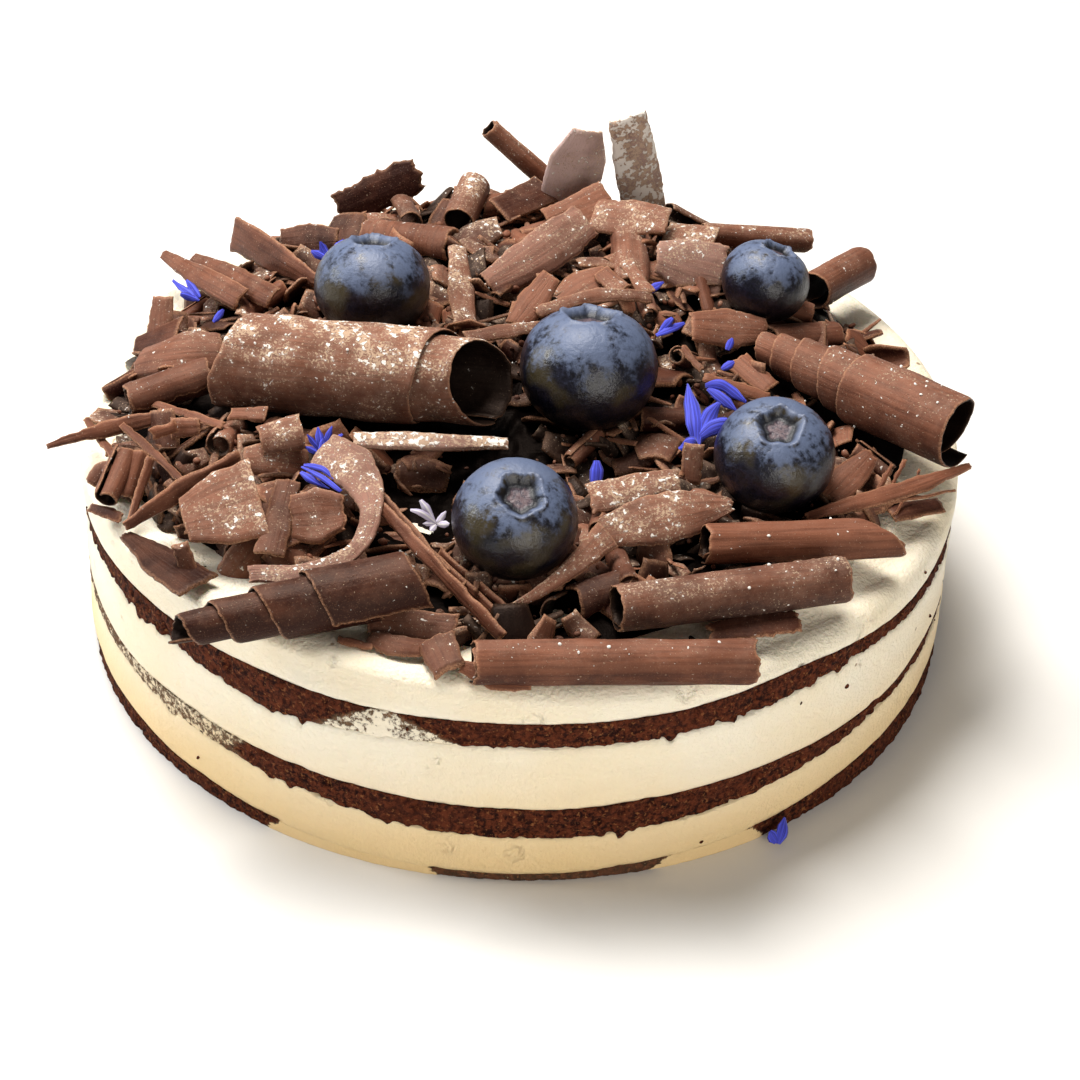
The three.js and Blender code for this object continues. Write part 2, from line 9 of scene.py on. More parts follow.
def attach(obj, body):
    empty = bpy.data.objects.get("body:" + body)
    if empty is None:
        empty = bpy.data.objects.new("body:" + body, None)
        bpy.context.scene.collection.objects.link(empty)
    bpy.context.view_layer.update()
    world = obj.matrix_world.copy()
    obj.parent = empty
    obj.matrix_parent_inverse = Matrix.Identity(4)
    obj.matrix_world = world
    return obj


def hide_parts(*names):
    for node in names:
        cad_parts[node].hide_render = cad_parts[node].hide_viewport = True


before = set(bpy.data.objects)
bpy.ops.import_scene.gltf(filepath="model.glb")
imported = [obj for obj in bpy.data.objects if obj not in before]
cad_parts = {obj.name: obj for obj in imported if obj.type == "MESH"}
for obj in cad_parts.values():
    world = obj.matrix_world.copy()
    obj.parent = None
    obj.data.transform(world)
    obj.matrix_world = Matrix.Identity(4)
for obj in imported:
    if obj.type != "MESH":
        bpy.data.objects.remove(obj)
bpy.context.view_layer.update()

mm = 0.001
up = np.array([0.0, 0.0, 1.0])

cake = {
    "radius": 80.0,
    "creamHeight": 41.0,
    "heapRadius": 71.0,
    "heapDepth": 4.6,
    # the deeper parts of the heap: x, y, height, spread
    "mounds": [(0, 32, 9, 34), (-46, -24, 3.5, 20)],
    "sideSegments": 1080,
}


# ---------- numbers ----------

def lerp(a, b, t):
    return a + (b - a) * t


def smoothStep(low, high, value):
    t = np.clip((value - low) / (high - low), 0, 1)
    return t * t * (3 - 2 * t)


def unit(vector):
    vector = np.asarray(vector, float)
    return vector / np.linalg.norm(vector, axis=-1, keepdims=True)


lattice = np.random.default_rng(11).random((32, 32, 32))


def lumps(x, y, z=0.0, size=1.0, seed=0):
    # smooth repeatable noise from -1 to 1 whose lumps are `size` across
    spots = [np.asarray(c, float) / size + seed * shift for c, shift in zip((x, y, z), (7.31, 3.97, 5.13))]
    spots = np.broadcast_arrays(*spots)
    cells = [np.floor(c).astype(int) for c in spots]
    parts = [smoothStep(0, 1, c - cell) for c, cell in zip(spots, cells)]
    total = 0
    for corner in np.ndindex(2, 2, 2):
        weight = 1
        for part, side in zip(parts, corner):
            weight = weight * (part if side else 1 - part)
        i, j, k = [(cell + side) % len(lattice) for cell, side in zip(cells, corner)]
        total = total + weight * lattice[i, j, k]
    return 2 * total - 1


def roughLumps(x, y, z=0.0, size=1.0, seed=0):
    # three sizes of lumps together
    return (lumps(x, y, z, size, seed) + 0.5 * lumps(x, y, z, size / 2.1, seed + 1)
            + 0.25 * lumps(x, y, z, size / 4.3, seed + 2)) / 1.75


def swell(angle, centre, spread):
    # a smooth swelling of height 1 at `centre` degrees round the cake
    return np.exp((np.cos(angle - math.radians(centre)) - 1) / math.radians(spread) ** 2)


def swellings(level, swells, angle):
    # the level at each angle, with its swellings: height in mm, centre and spread in degrees
    for height, centre, spread in swells:
        level = level + height * swell(angle, centre, spread)
    return level


def along(values, t):
    return np.interp(t, np.linspace(0, 1, len(values)), values)


# ---------- objects and meshes ----------

def addObject(name, data):
    holder = bpy.data.objects.new(name, data)
    bpy.context.scene.collection.objects.link(holder)
    return holder


def makeMesh(name, points, faces, attributes=None, uv=None):
    # points in mm; `attributes` and `uv` hold one value for each point
    points = np.asarray(points, float).reshape(-1, 3) * mm
    mesh = bpy.data.meshes.new(name)
    mesh.from_pydata(points.tolist(), [], [list(map(int, face)) for face in faces])
    mesh.update()
    for key, values in (attributes or {}).items():
        layer = mesh.attributes.new(key, "FLOAT", "POINT")
        layer.data.foreach_set("value", np.broadcast_to(values, len(points)).astype(np.float32).ravel())
    if uv is not None:
        corners = np.empty(len(mesh.loops), int)
        mesh.loops.foreach_get("vertex_index", corners)
        mesh.uv_layers.new(name="UVMap").data.foreach_set("uv", np.asarray(uv, np.float32)[corners].ravel())
    mesh.polygons.foreach_set("use_smooth", np.ones(len(mesh.polygons), bool))
    return mesh


def makePiece(name, mesh, material, nodes=()):
    piece = addObject(name, mesh)
    mesh.materials.clear()
    mesh.materials.append(material)
    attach(piece, "root")
    if nodes:
        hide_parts(*nodes)
    return piece


def joinedMesh(name, parts):
    # one mesh of several (points, faces, attributes, uv)
    points, faces, uv, attributes, offset = [], [], [], {}, 0
    for somePoints, someFaces, someAttributes, someUv in parts:
        points.append(somePoints)
        faces += [[spot + offset for spot in face] for face in someFaces]
        uv.append(someUv)
        for key, values in someAttributes.items():
            attributes.setdefault(key, []).append(np.broadcast_to(values, len(somePoints)))
        offset += len(somePoints)
    attributes = {key: np.concatenate(values) for key, values in attributes.items()}
    return makeMesh(name, np.concatenate(points), faces, attributes, np.concatenate(uv))


def ringFaces(rings, around):
    # the quads between the rings, the number of each point, and that of the next one round its ring
    spots = np.arange(rings * around).reshape(rings, around)
    after = np.roll(spots, -1, axis=1)
    quads = np.stack([spots[:-1], after[:-1], after[1:], spots[1:]], -1).reshape(-1, 4).tolist()
    return quads, spots, after


def fan(middle, edge, other):
    return [(middle, a, b) for a, b in zip(edge, other)]


# ---------- nodes ----------

def addNode(tree, kind, inputs=None, **settings):
    # a node with its settings; each input is a value or the socket that feeds it
    node = tree.nodes.new(kind)
    for key, value in settings.items():
        setattr(node, key, value)
    for key, value in (inputs or {}).items():
        if isinstance(value, bpy.types.NodeSocket):
            tree.links.new(value, node.inputs[key])
        else:
            node.inputs[key].default_value = value
    return node


def mathNode(tree, operation, a, b=0.0, clamp=False):
    return addNode(tree, "ShaderNodeMath", {0: a, 1: b}, operation=operation, use_clamp=clamp).outputs[0]


def times(tree, a, b):
    return mathNode(tree, "MULTIPLY", a, b)


def plus(tree, a, b):
    return mathNode(tree, "ADD", a, b)


def weighted(tree, *terms):
    # the sum of some (weight, value)
    first, *others = [times(tree, value, weight) for weight, value in terms]
    for other in others:
        first = plus(tree, first, other)
    return first


def fade(tree, value, low, high, toLow=0.0, toHigh=1.0):
    inputs = {"Value": value, "From Min": low, "From Max": high, "To Min": toLow, "To Max": toHigh}
    return addNode(tree, "ShaderNodeMapRange", inputs, interpolation_type="SMOOTHSTEP").outputs[0]


def mixColours(tree, amount, a, b):
    return addNode(tree, "ShaderNodeMix", {"Factor": amount, 6: a, 7: b}, data_type="RGBA").outputs[2]


def coverWith(tree, base, covers):
    # each (amount, colour) lies over the last
    for amount, tint in covers:
        base = mixColours(tree, amount, base, tint)
    return base


def noiseNode(tree, place, size, detail=2.0, roughness=0.5):
    # size in mm
    inputs = {"Vector": place, "Scale": 1 / (size * mm), "Detail": detail, "Roughness": roughness}
    return addNode(tree, "ShaderNodeTexNoise", inputs).outputs[0]


def attributeNode(tree, name):
    return addNode(tree, "ShaderNodeAttribute", attribute_name=name).outputs["Fac"]


def upwardness(tree):
    # how far a face looks up, from -1 to 1
    normal = addNode(tree, "ShaderNodeNewGeometry").outputs["Normal"]
    return addNode(tree, "ShaderNodeSeparateXYZ", {0: normal}).outputs[2]


def colour(red, green, blue):
    # a screen colour from 0 to 255 as a linear one
    shares = [c / 255 for c in (red, green, blue)]
    linear = [s / 12.92 if s < 0.0405 else ((s + 0.055) / 1.055) ** 2.4 for s in shares]
    return (*linear, 1.0)


def startGroup(name, inputs, outputs):
    group = bpy.data.node_groups.new(name, "ShaderNodeTree")
    for key, value in inputs.items():
        socket = group.interface.new_socket(key, in_out="INPUT", socket_type="NodeSocketFloat")
        socket.default_value = value
    for key in outputs:
        group.interface.new_socket(key, in_out="OUTPUT", socket_type="NodeSocketFloat")
    return group, addNode(group, "NodeGroupInput").outputs


def useGroup(tree, group, inputs):
    return addNode(tree, "ShaderNodeGroup", inputs, node_tree=group).outputs


def startMaterial(name, constants):
    material = bpy.data.materials.new(name)
    material.use_nodes = True
    tree = material.node_tree
    shader = tree.nodes["Principled BSDF"]
    for key, value in constants.items():
        shader.inputs[key].default_value = value
    place = addNode(tree, "ShaderNodeTexCoord").outputs["Object"]
    return material, tree, shader, place


def finishMaterial(tree, shader, base, relief=None, depth=0.0, strength=1.0, roughness=None):
    # depth of the relief in mm
    tree.links.new(base, shader.inputs["Base Color"])
    if roughness is not None:
        tree.links.new(roughness, shader.inputs["Roughness"])
    if relief is not None:
        inputs = {"Height": relief, "Distance": depth * mm, "Strength": strength}
        tree.links.new(addNode(tree, "ShaderNodeBump", inputs).outputs[0], shader.inputs["Normal"])


# ---------- shared effects ----------

sugarGrain = {
    "patches": 6.0, "clumps": 1.0, "specks": 0.42,  # sizes in mm
    # how far more sugar lowers the level that the noise has to pass
    "clumpGain": 0.12, "speckGain": 0.17,
}


def buildSugarDust():
    # powdered sugar that settles in fine specks and clumps on what faces up, with a thin film round them
    group, given = startGroup("sugar dust", {"Amount": 0.5, "Cling": 0.15}, ["Specks", "Clumps", "Film"])
    place = addNode(group, "ShaderNodeTexCoord").outputs["Object"]
    settled = mathNode(group, "POWER", fade(group, upwardness(group), -0.2, 1.0), 1.5)
    settled = times(group, mathNode(group, "MAXIMUM", settled, given["Cling"]), given["Amount"])
    patches = noiseNode(group, place, sugarGrain["patches"], 3, 0.65)
    wanted = times(group, settled, fade(group, patches, 0.36, 0.66, 0.4, 1.35))
    fine = noiseNode(group, place, sugarGrain["specks"], 2, 0.65)
    coarse = noiseNode(group, place, sugarGrain["clumps"], 2, 0.55)
    specks = plus(group, fine, times(group, wanted, sugarGrain["speckGain"]))
    clumps = plus(group, coarse, times(group, wanted, sugarGrain["clumpGain"]))
    dusted = fade(group, given["Amount"], 0.02, 0.15)
    addNode(group, "NodeGroupOutput", {
        "Specks": times(group, fade(group, specks, 0.69, 0.74), dusted),
        "Clumps": times(group, fade(group, clumps, 0.73, 0.78), dusted),
        "Film": mathNode(group, "MULTIPLY", wanted, fade(group, coarse, 0.35, 0.65, 0.5, 1.1), True)})
    return group


def buildFineRidges():
    # the fine parallel marks that a blade leaves, along or across the piece's own map
    group, given = startGroup("fine ridges", {"Spacing": 0.7, "Across": 0.0}, ["Height"])
    plan = addNode(group, "ShaderNodeTexCoord").outputs["UV"]
    parts = addNode(group, "ShaderNodeSeparateXYZ", {0: plan}).outputs
    counted, drift = [addNode(group, "ShaderNodeMix", {"Factor": given["Across"], 2: a, 3: b}).outputs[0]
                      for a, b in ((parts[1], parts[0]), (parts[0], parts[1]))]
    counted = mathNode(group, "DIVIDE", counted, given["Spacing"])
    spot = addNode(group, "ShaderNodeCombineXYZ", {0: counted, 1: times(group, drift, 0.06)}).outputs[0]
    marks = addNode(group, "ShaderNodeTexNoise", {"Vector": spot, "Scale": 1.0, "Detail": 3.0}).outputs[0]
    addNode(group, "NodeGroupOutput", {"Height": marks})
    return group


sugarDust = buildSugarDust()
fineRidges = buildFineRidges()
print("shared effects built")


# ---------- materials ----------

# how strongly each cover hides the chocolate under it, and the spacing of the blade marks in mm
chocolateCovers = {"boreShade": 0.94, "film": 0.34, "specks": 0.52, "clumps": 0.92, "bladeMarks": 0.55}


def chocolateMaterial(name, deep, lit, edge, gloss):
    material, tree, shader, place = startMaterial(
        name, {"Specular IOR Level": gloss, "Specular Tint": colour(255, 220, 200)})
    broad, grain = noiseNode(tree, place, 7.0, 3, 0.6), noiseNode(tree, place, 0.3, 2, 0.7)
    tone, across, edges, boreShade, paintedSheen, dust, cling = [
        attributeNode(tree, key) for key in ("tone", "across", "edge", "boreShade", "paintedSheen", "dust", "cling")]
    # what faces up is lighter, partly from a little powder and partly as painted light, and the undersides
    # are painted shade
    shade = plus(tree, fade(tree, tone, -1.0, 1.0, 0.04, 0.96),
                 fade(tree, upwardness(tree), -0.45, 0.75, -0.45, 0.14))
    shade = mathNode(tree, "ADD", shade, fade(tree, broad, 0.3, 0.7, -0.2, 0.2), True)
    ridges = useGroup(tree, fineRidges, {"Spacing": chocolateCovers["bladeMarks"], "Across": across})[0]
    sugar = useGroup(tree, sugarDust, {"Amount": dust, "Cling": cling})
    base = coverWith(tree, mixColours(tree, shade, deep, lit), [
        # painted shade: the grooves of the blade marks are darker
        (fade(tree, ridges, 0.32, 0.56, 0.4, 0.0), deep),
        (fade(tree, grain, 0.55, 0.75, 0.0, 0.22), edge),
        # the edges are lighter: partly scraped, partly a painted highlight
        (times(tree, edges, fade(tree, grain, 0.35, 0.62, 0.15, 0.8)), edge),
        # painted shade: the inner face of a roll turns nearly black
        (times(tree, boreShade, chocolateCovers["boreShade"]), colour(4, 2, 2)),
        # painted shade: what lies deep in the heap is nearly black
        (fade(tree, tone, -2.4, -0.9, 0.9, 0.0), colour(3, 2, 2)),
        # painted sheen and light: a pale pinkish film that lightens some shards
        (times(tree, paintedSheen, fade(tree, broad, 0.3, 0.6, 0.5, 1.0)), colour(222, 194, 188)),
        (times(tree, sugar["Film"], chocolateCovers["film"]), colour(186, 156, 138)),
        (times(tree, sugar["Specks"], chocolateCovers["specks"]), colour(212, 184, 154)),
        (times(tree, sugar["Clumps"], chocolateCovers["clumps"]), colour(246, 238, 228)),
    ])
    relief = weighted(tree, (0.6, ridges), (0.9, sugar["Clumps"]), (0.4, sugar["Specks"]), (0.35, grain))
    finishMaterial(tree, shader, base, relief, 0.22, 0.9, fade(tree, sugar["Film"], 0.0, 0.6, 0.42, 0.85))
    return material


def creamTintAndReflection(tree, place):
    # ivory, with a painted reflection, as of a gold board, that makes it yellower over the lowest 28 mm
    broad = noiseNode(tree, place, 22.0, 3)
    height = addNode(tree, "ShaderNodeSeparateXYZ", {0: place}).outputs[2]
    return coverWith(tree, colour(250, 240, 219), [
        (fade(tree, broad, 0.3, 0.7), colour(246, 231, 201)),
        (fade(tree, height, 0.0, 28 * mm, 0.8, 0.0), colour(238, 202, 138))])


# cells per metre for the specks of crumb and for the pits where air was trapped
creamCells = {"specks": 240.0, "pits": 150.0}


def creamMaterial():
    material, tree, shader, place = startMaterial("whipped cream", {
        "Roughness": 0.62, "Specular IOR Level": 0.25, "Subsurface Weight": 0.12,
        "Subsurface Radius": (1.0, 0.7, 0.4), "Subsurface Scale": 0.003})
    specks = addNode(tree, "ShaderNodeTexVoronoi", {"Vector": place, "Scale": creamCells["specks"]})
    chance = addNode(tree, "ShaderNodeSeparateColor", {0: specks.outputs["Color"]}).outputs[0]
    speck = mathNode(tree, "SUBTRACT", fade(tree, chance, 0.86, 1.0, 0.0, 0.16), specks.outputs["Distance"])
    speck = times(tree, fade(tree, speck, -0.01, 0.03), 0.75)
    base = mixColours(tree, speck, creamTintAndReflection(tree, place), colour(140, 104, 66))
    pits = addNode(tree, "ShaderNodeTexVoronoi", {"Vector": place, "Scale": creamCells["pits"]})
    luck = addNode(tree, "ShaderNodeSeparateColor", {0: pits.outputs["Color"]}).outputs[1]
    ragged = times(tree, noiseNode(tree, place, 1.2, 3), 0.3)
    reach = plus(tree, fade(tree, luck, 0.72, 1.0, 0.0, 0.3), ragged)
    pit = fade(tree, mathNode(tree, "SUBTRACT", reach, pits.outputs["Distance"]), 0.08, 0.34)
    relief = weighted(tree, (0.6, noiseNode(tree, place, 0.8, 4, 0.6)), (-1.0, pit))
    finishMaterial(tree, shader, base, relief, 0.8)
    return material


def spongeMaterial():
    material, tree, shader, place = startMaterial(
        "chocolate sponge", {"Roughness": 0.95, "Specular IOR Level": 0.12})
    crumb, light = noiseNode(tree, place, 0.9, 4, 0.7), noiseNode(tree, place, 0.7, 2, 0.6)
    redder, grain = noiseNode(tree, place, 9.0, 2), noiseNode(tree, place, 1.0, 4, 0.7)
    smear = attributeNode(tree, "smear")
    # cream dragged over the crumbs leaves only their hollows dark
    covered = fade(tree, mathNode(tree, "SUBTRACT", smear, grain), -0.06, 0.08)
    # nearly black in the hollows, lighter on the crumbs and in specks: partly the sponge's colour, partly
    # painted shade and painted highlight
    base = coverWith(tree, colour(28, 10, 7), [
        (fade(tree, crumb, 0.38, 0.64), colour(98, 48, 28)),
        (fade(tree, light, 0.58, 0.7, 0.0, 0.6), colour(152, 98, 58)),
        (fade(tree, redder, 0.4, 0.7, 0.0, 0.3), colour(84, 40, 24)),
        (fade(tree, smear, 0.1, 0.6, 0.0, 0.45), colour(150, 128, 100)),
        (covered, creamTintAndReflection(tree, place)),
    ])
    finishMaterial(tree, shader, base, weighted(tree, (1.0, crumb), (0.5, covered)), 0.5, 0.9)
    return material


def berryMaterial():
    material, tree, shader, place = startMaterial("blueberry skin", {"Specular IOR Level": 0.5})
    turnX, turnY, down, rim, eye, pit = [
        attributeNode(tree, key) for key in ("turnX", "turnY", "down", "rim", "eye", "pit")]
    # pale bloom, rubbed away in patches and in streaks that run down from the eye, and fuller and paler on
    # what faces up as painted light
    meridian = {0: turnX, 1: turnY, 2: times(tree, down, 0.9)}
    meridian = addNode(tree, "ShaderNodeCombineXYZ", meridian).outputs[0]
    streaks = {"Vector": meridian, "Scale": 3.2, "Detail": 4.0}
    streaks = addNode(tree, "ShaderNodeTexNoise", streaks).outputs[0]
    broad, fine = noiseNode(tree, place, 6.0, 4, 0.65), noiseNode(tree, place, 0.9, 3, 0.7)
    goldReflection, upward = noiseNode(tree, place, 9.0, 2), upwardness(tree)
    bloom = weighted(tree, (0.35, broad), (0.37, streaks), (0.28, fine))
    bloom = fade(tree, plus(tree, bloom, fade(tree, upward, -0.3, 1.0, -0.16, 0.12)), 0.475, 0.62)
    inside = mixColours(tree, fade(tree, fine, 0.4, 0.6), colour(56, 42, 52), colour(104, 84, 86))
    base = coverWith(tree, colour(9, 9, 18), [
        (fade(tree, fine, 0.35, 0.65), colour(25, 24, 38)),
        # painted reflection: olive-gold spots
        (fade(tree, goldReflection, 0.54, 0.68, 0.0, 0.42), colour(92, 80, 46)),
        # painted light: the bloom is paler on what faces up
        (times(tree, bloom, fade(tree, upward, -0.1, 0.95, 0.22, 0.8)), colour(98, 111, 140)),
        # painted shade: what faces down turns nearly black
        (fade(tree, upward, -0.65, 0.3, 0.94, 0.0), colour(1, 1, 4)),
        (times(tree, rim, 0.22), colour(132, 130, 136)),
        # painted shade: the eye's walls are nearly black round its paler middle
        (times(tree, fade(tree, eye, 0.15, 0.9), 0.95), mixColours(tree, pit, colour(7, 5, 8), inside)),
    ])
    relief = weighted(tree, (1.0, streaks), (0.9, fine))
    finishMaterial(tree, shader, base, relief, 0.22, 0.7, fade(tree, bloom, 0.0, 1.0, 0.3, 0.5))
    return material


def petalMaterial(name, deep, pale):
    material, tree, shader, _ = startMaterial(name, {"Roughness": 0.7, "Sheen Weight": 0.3})
    veins = useGroup(tree, fineRidges, {"Spacing": 0.35, "Across": 0.0})[0]
    base = mixColours(tree, fade(tree, veins, 0.35, 0.68), deep, pale)
    finishMaterial(tree, shader, base, veins, 0.15, 0.6)
    return material


def plainMaterial(name, tint, roughness, grainSize):
    material, tree, shader, place = startMaterial(name, {"Roughness": roughness})
    grain = fade(tree, noiseNode(tree, place, grainSize, 2), 0.3, 0.7, 0.0, 0.25)
    finishMaterial(tree, shader, mixColours(tree, grain, tint, (*[0.8 * c for c in tint[:3]], 1.0)))
    return material


chocolate = chocolateMaterial(
    "shaved chocolate", colour(40, 12, 9), colour(128, 80, 60), colour(180, 132, 100), 0.16)
# painted shade: a near-black chocolate for the heap's core, where only shade shows between the shavings; the
# crumbs on the cream's top use it too
nearBlackChocolate = chocolateMaterial(
    "shadowed chocolate", colour(10, 5, 3), colour(30, 15, 10), colour(50, 30, 20), 0.03)
cream = creamMaterial()
sponge = spongeMaterial()
berrySkin = berryMaterial()
petalBlue = petalMaterial("blue petal", colour(26, 22, 140), colour(80, 92, 246))
petalPale = petalMaterial("pale floret", colour(176, 164, 196), colour(236, 232, 226))
sugarWhite = plainMaterial("sugar", colour(244, 240, 232), 0.8, 0.2)
print("materials built")


# ---------- camera, light and floor ----------

camera = {
    "distance": 526.6,  # mm from the middle of the underside
    "elevation": 37.6,  # degrees
    "yaw": 0.584, "pitch": -1.077, "roll": 2.194,  # degrees away from the middle of the underside
    "focal": 2751.0, "pictureWidth": 1080,  # pixels
    "filmWidth": 36.0,  # mm
}
lights = {
    "overhead": {
        "place": (-130, 150, 620), "aim": (0, 0, 40), "size": 300, "power": 6.4, "tint": (1.0, 0.97, 0.93)},
    "window": {
        "place": (-560, 60, 330), "aim": (0, 0, 40), "size": 240, "power": 2.4, "tint": (0.9, 0.95, 1.0)},
    "front": {
        "place": (210, -600, 180), "aim": (0, 0, 15), "size": 420, "power": 1.85, "tint": (1.0, 0.96, 0.9),
        "glint": 0.0},
}
room = {"tint": (1.0, 0.985, 0.96, 1.0), "strength": 0.13, "floorHalf": 3000}


def setCamera():
    elevation, yaw, pitch, roll = [math.radians(camera[k]) for k in ("elevation", "yaw", "pitch", "roll")]
    eye = camera["distance"] * np.array([0, -math.cos(elevation), math.sin(elevation)])
    tilt = -(elevation + pitch)
    forward = np.array([math.sin(yaw) * math.cos(tilt), math.cos(yaw) * math.cos(tilt), math.sin(tilt)])
    right = unit(np.cross(forward, up))
    above = np.cross(right, forward)
    rolledRight = math.cos(roll) * right + math.sin(roll) * above
    rolledUp = math.cos(roll) * above - math.sin(roll) * right
    data = bpy.data.cameras.new("camera")
    data.sensor_width = camera["filmWidth"]
    data.lens = camera["filmWidth"] * camera["focal"] / camera["pictureWidth"]
    data.clip_start = 10 * mm
    holder = addObject("camera", data)
    turn = Matrix(np.array([rolledRight, rolledUp, -forward]).T.tolist()).to_4x4()
    holder.matrix_world = Matrix.Translation(Vector((eye * mm).tolist())) @ turn
    bpy.context.scene.camera = holder


def addLight(name, settings):
    data = bpy.data.lights.new(name, "AREA")
    data.energy = settings["power"]
    data.size = settings["size"] * mm
    data.color = settings["tint"]
    data.specular_factor = settings.get("glint", 1.0)
    place = Vector(settings["place"]) * mm
    toward = Vector(settings["aim"]) * mm - place
    turn = toward.to_track_quat("-Z", "Y").to_matrix().to_4x4()
    addObject(name, data).matrix_world = Matrix.Translation(place) @ turn


def addRoom():
    world = bpy.data.worlds.new("studio")
    bpy.context.scene.world = world
    world.use_nodes = True
    world.node_tree.nodes["Background"].inputs[0].default_value = room["tint"]
    world.node_tree.nodes["Background"].inputs[1].default_value = room["strength"]
    half = room["floorHalf"]
    corners = [(-half, -half, 0), (half, -half, 0), (half, half, 0), (-half, half, 0)]
    mesh = makeMesh("floor", corners, [(0, 1, 2, 3)])
    mesh.materials.append(plainMaterial("pale floor", colour(240, 238, 234), 0.7, 400.0))
    addObject("floor", mesh)


setCamera()
for name, settings in lights.items():
    addLight(name, settings)
addRoom()
bpy.context.scene.view_settings.view_transform = "Standard"
print("camera, light and floor set")


# ---------- sponges and creams ----------

sideAngles = np.linspace(0, 2 * math.pi, cake["sideSegments"], endpoint=False)
sideX, sideY = np.cos(sideAngles), np.sin(sideAngles)
wallX, wallY = cake["radius"] * sideX, cake["radius"] * sideY

crumbEdge = {"fine": 0.5, "tongues": 2.1, "neat": 0.14}
spongeSide = {"rows": 14, "recess": 0.4, "crumbs": 0.42, "holes": 0.6}
creamSide = {"rows": 24, "recess": 0.15, "wave": 0.3, "rounded": 0.35, "dents": 0.25}
# the rim curves over `reach` mm in `steps`; the top then slopes to the heap and carries the knife's strokes
creamRim = {"reach": 3.2, "steps": 7, "slope": 11, "drop": 1.6, "strokes": 0.35, "fineStrokes": 0.16}
# stretches of the side where cream is dragged over a sponge: in degrees, where each starts and stops
# at the sponge's bottom and at its top, and how thickly it lies
smears = {
    "sponge_base": [(-121, -119, -99, -100, 1.2), (-101, -99, -72, -70, 0.3), (-72, -70, -57, -59, 1.2)],
    "sponge_middle": [
        (-153, -149, -128, -124, 0.5), (-180, -172, -153, -150, 0.42), (-151, -156, -124, -131, 0.35)],
    "sponge_upper": [
        (-114, -106.5, -96, -104, 0.53), (-108, -106, -103, -105.5, 0.66), (60, 62, 78, 74, 0.5)],
}


def cleanEdge(seed):
    waves = 1.5 * lumps(wallX, wallY, 0, 12, seed)
    return crumbEdge["neat"] * (roughLumps(wallX, wallY, 0, 1.4, seed) + waves)


def raggedEdge(seed):
    # crumbs and tongues of sponge dragged down over the cream
    fine = crumbEdge["fine"] * roughLumps(wallX, wallY, 0, 0.9, seed)
    tongues = smoothStep(0.1, 0.75, lumps(wallX, wallY, 0, 7, seed + 3))
    tongues = tongues * smoothStep(-0.3, 0.7, lumps(wallX, wallY, 0, 1.7, seed + 4))
    return fine - crumbEdge["tongues"] * tongues


heights = {
    "underside": 0 * sideAngles,
    "baseTop": cleanEdge(1) + swellings(3.6, [(-2.2, -90, 25), (2.0, -28, 20)], sideAngles),
    "middleBottom": raggedEdge(2) + swellings(14.6, [(-5.2, -84, 28)], sideAngles),
    "middleTop": cleanEdge(3) + swellings(
        17.8, [(-2, -85, 30), (-1.2, -150, 8), (-1.6, -37, 9)], sideAngles),
    "upperBottom": raggedEdge(4) + swellings(29.2, [(-2.2, -120, 8), (1.5, -46, 8)], sideAngles),
    "upperTop": cleanEdge(5) + swellings(
        34, [(-1.6, -160, 10), (1.4, -54, 8), (-2.2, -28, 10)], sideAngles),
}
rimHeight = swellings(cake["creamHeight"], [(2, -115, 25), (-2.4, -45, 35)], sideAngles)


def smearAt(name, share):
    degrees = (np.degrees(sideAngles) + 180) % 360 - 180
    degrees = (degrees + 0.9 * roughLumps(wallX, wallY, 9 * share, 2.2, 71)
               + 0.5 * lumps(wallX, wallY, 9 * share, 0.7, 72))
    total = 0 * sideAngles
    for startLow, startHigh, stopLow, stopHigh, amount in smears[name]:
        start, stop = lerp(startLow, startHigh, share), lerp(stopLow, stopHigh, share)
        total = np.maximum(total, amount * smoothStep(start - 1, start + 0.8, degrees)
                           * (1 - smoothStep(stop - 0.8, stop + 1, degrees)))
    return total


def stackRings(radii, levels, covers=None):
    # closed stack of rings, each with its radius and height at every angle, ended by a middle point
    rings = [np.stack([r * sideX, r * sideY, z + 0 * sideX], 1) for r, z in zip(radii, levels)]
    points = np.concatenate(rings + [[[0, 0, levels[0].mean()]], [[0, 0, levels[-1].mean()]]])
    quads, spots, after = ringFaces(len(rings), cake["sideSegments"])
    bottom, top = len(points) - 2, len(points) - 1
    faces = quads + fan(bottom, after[0], spots[0]) + fan(top, spots[-1], after[-1])
    values = [0 * sideX] * len(rings) if covers is None else [covers[0], *covers, covers[-1]]
    return points, faces, {"smear": np.concatenate([*values, [0, 0]])}


def creamRadius(level, fromEdge):
    # the cream's wall waves in and out, and is rounded by its edges
    rounding = creamSide["rounded"] * (1 - smoothStep(0, 0.9, fromEdge))
    wave = creamSide["wave"] * roughLumps(wallX, wallY, 2.5 * level, 14, 31)
    return cake["radius"] - creamSide["recess"] + wave, rounding


def spongeRadius(level, cover):
    crumbs = spongeSide["crumbs"] * roughLumps(wallX, wallY, level, 1.5, 20)
    holes = spongeSide["holes"] * smoothStep(0.35, 0.8, lumps(wallX, wallY, level, 1.9, 26))
    smooth = cake["radius"] - creamSide["recess"] + 0.3 * crumbs
    return lerp(cake["radius"] - spongeSide["recess"] + crumbs - holes, smooth, np.clip(cover * 1.3, 0, 1))


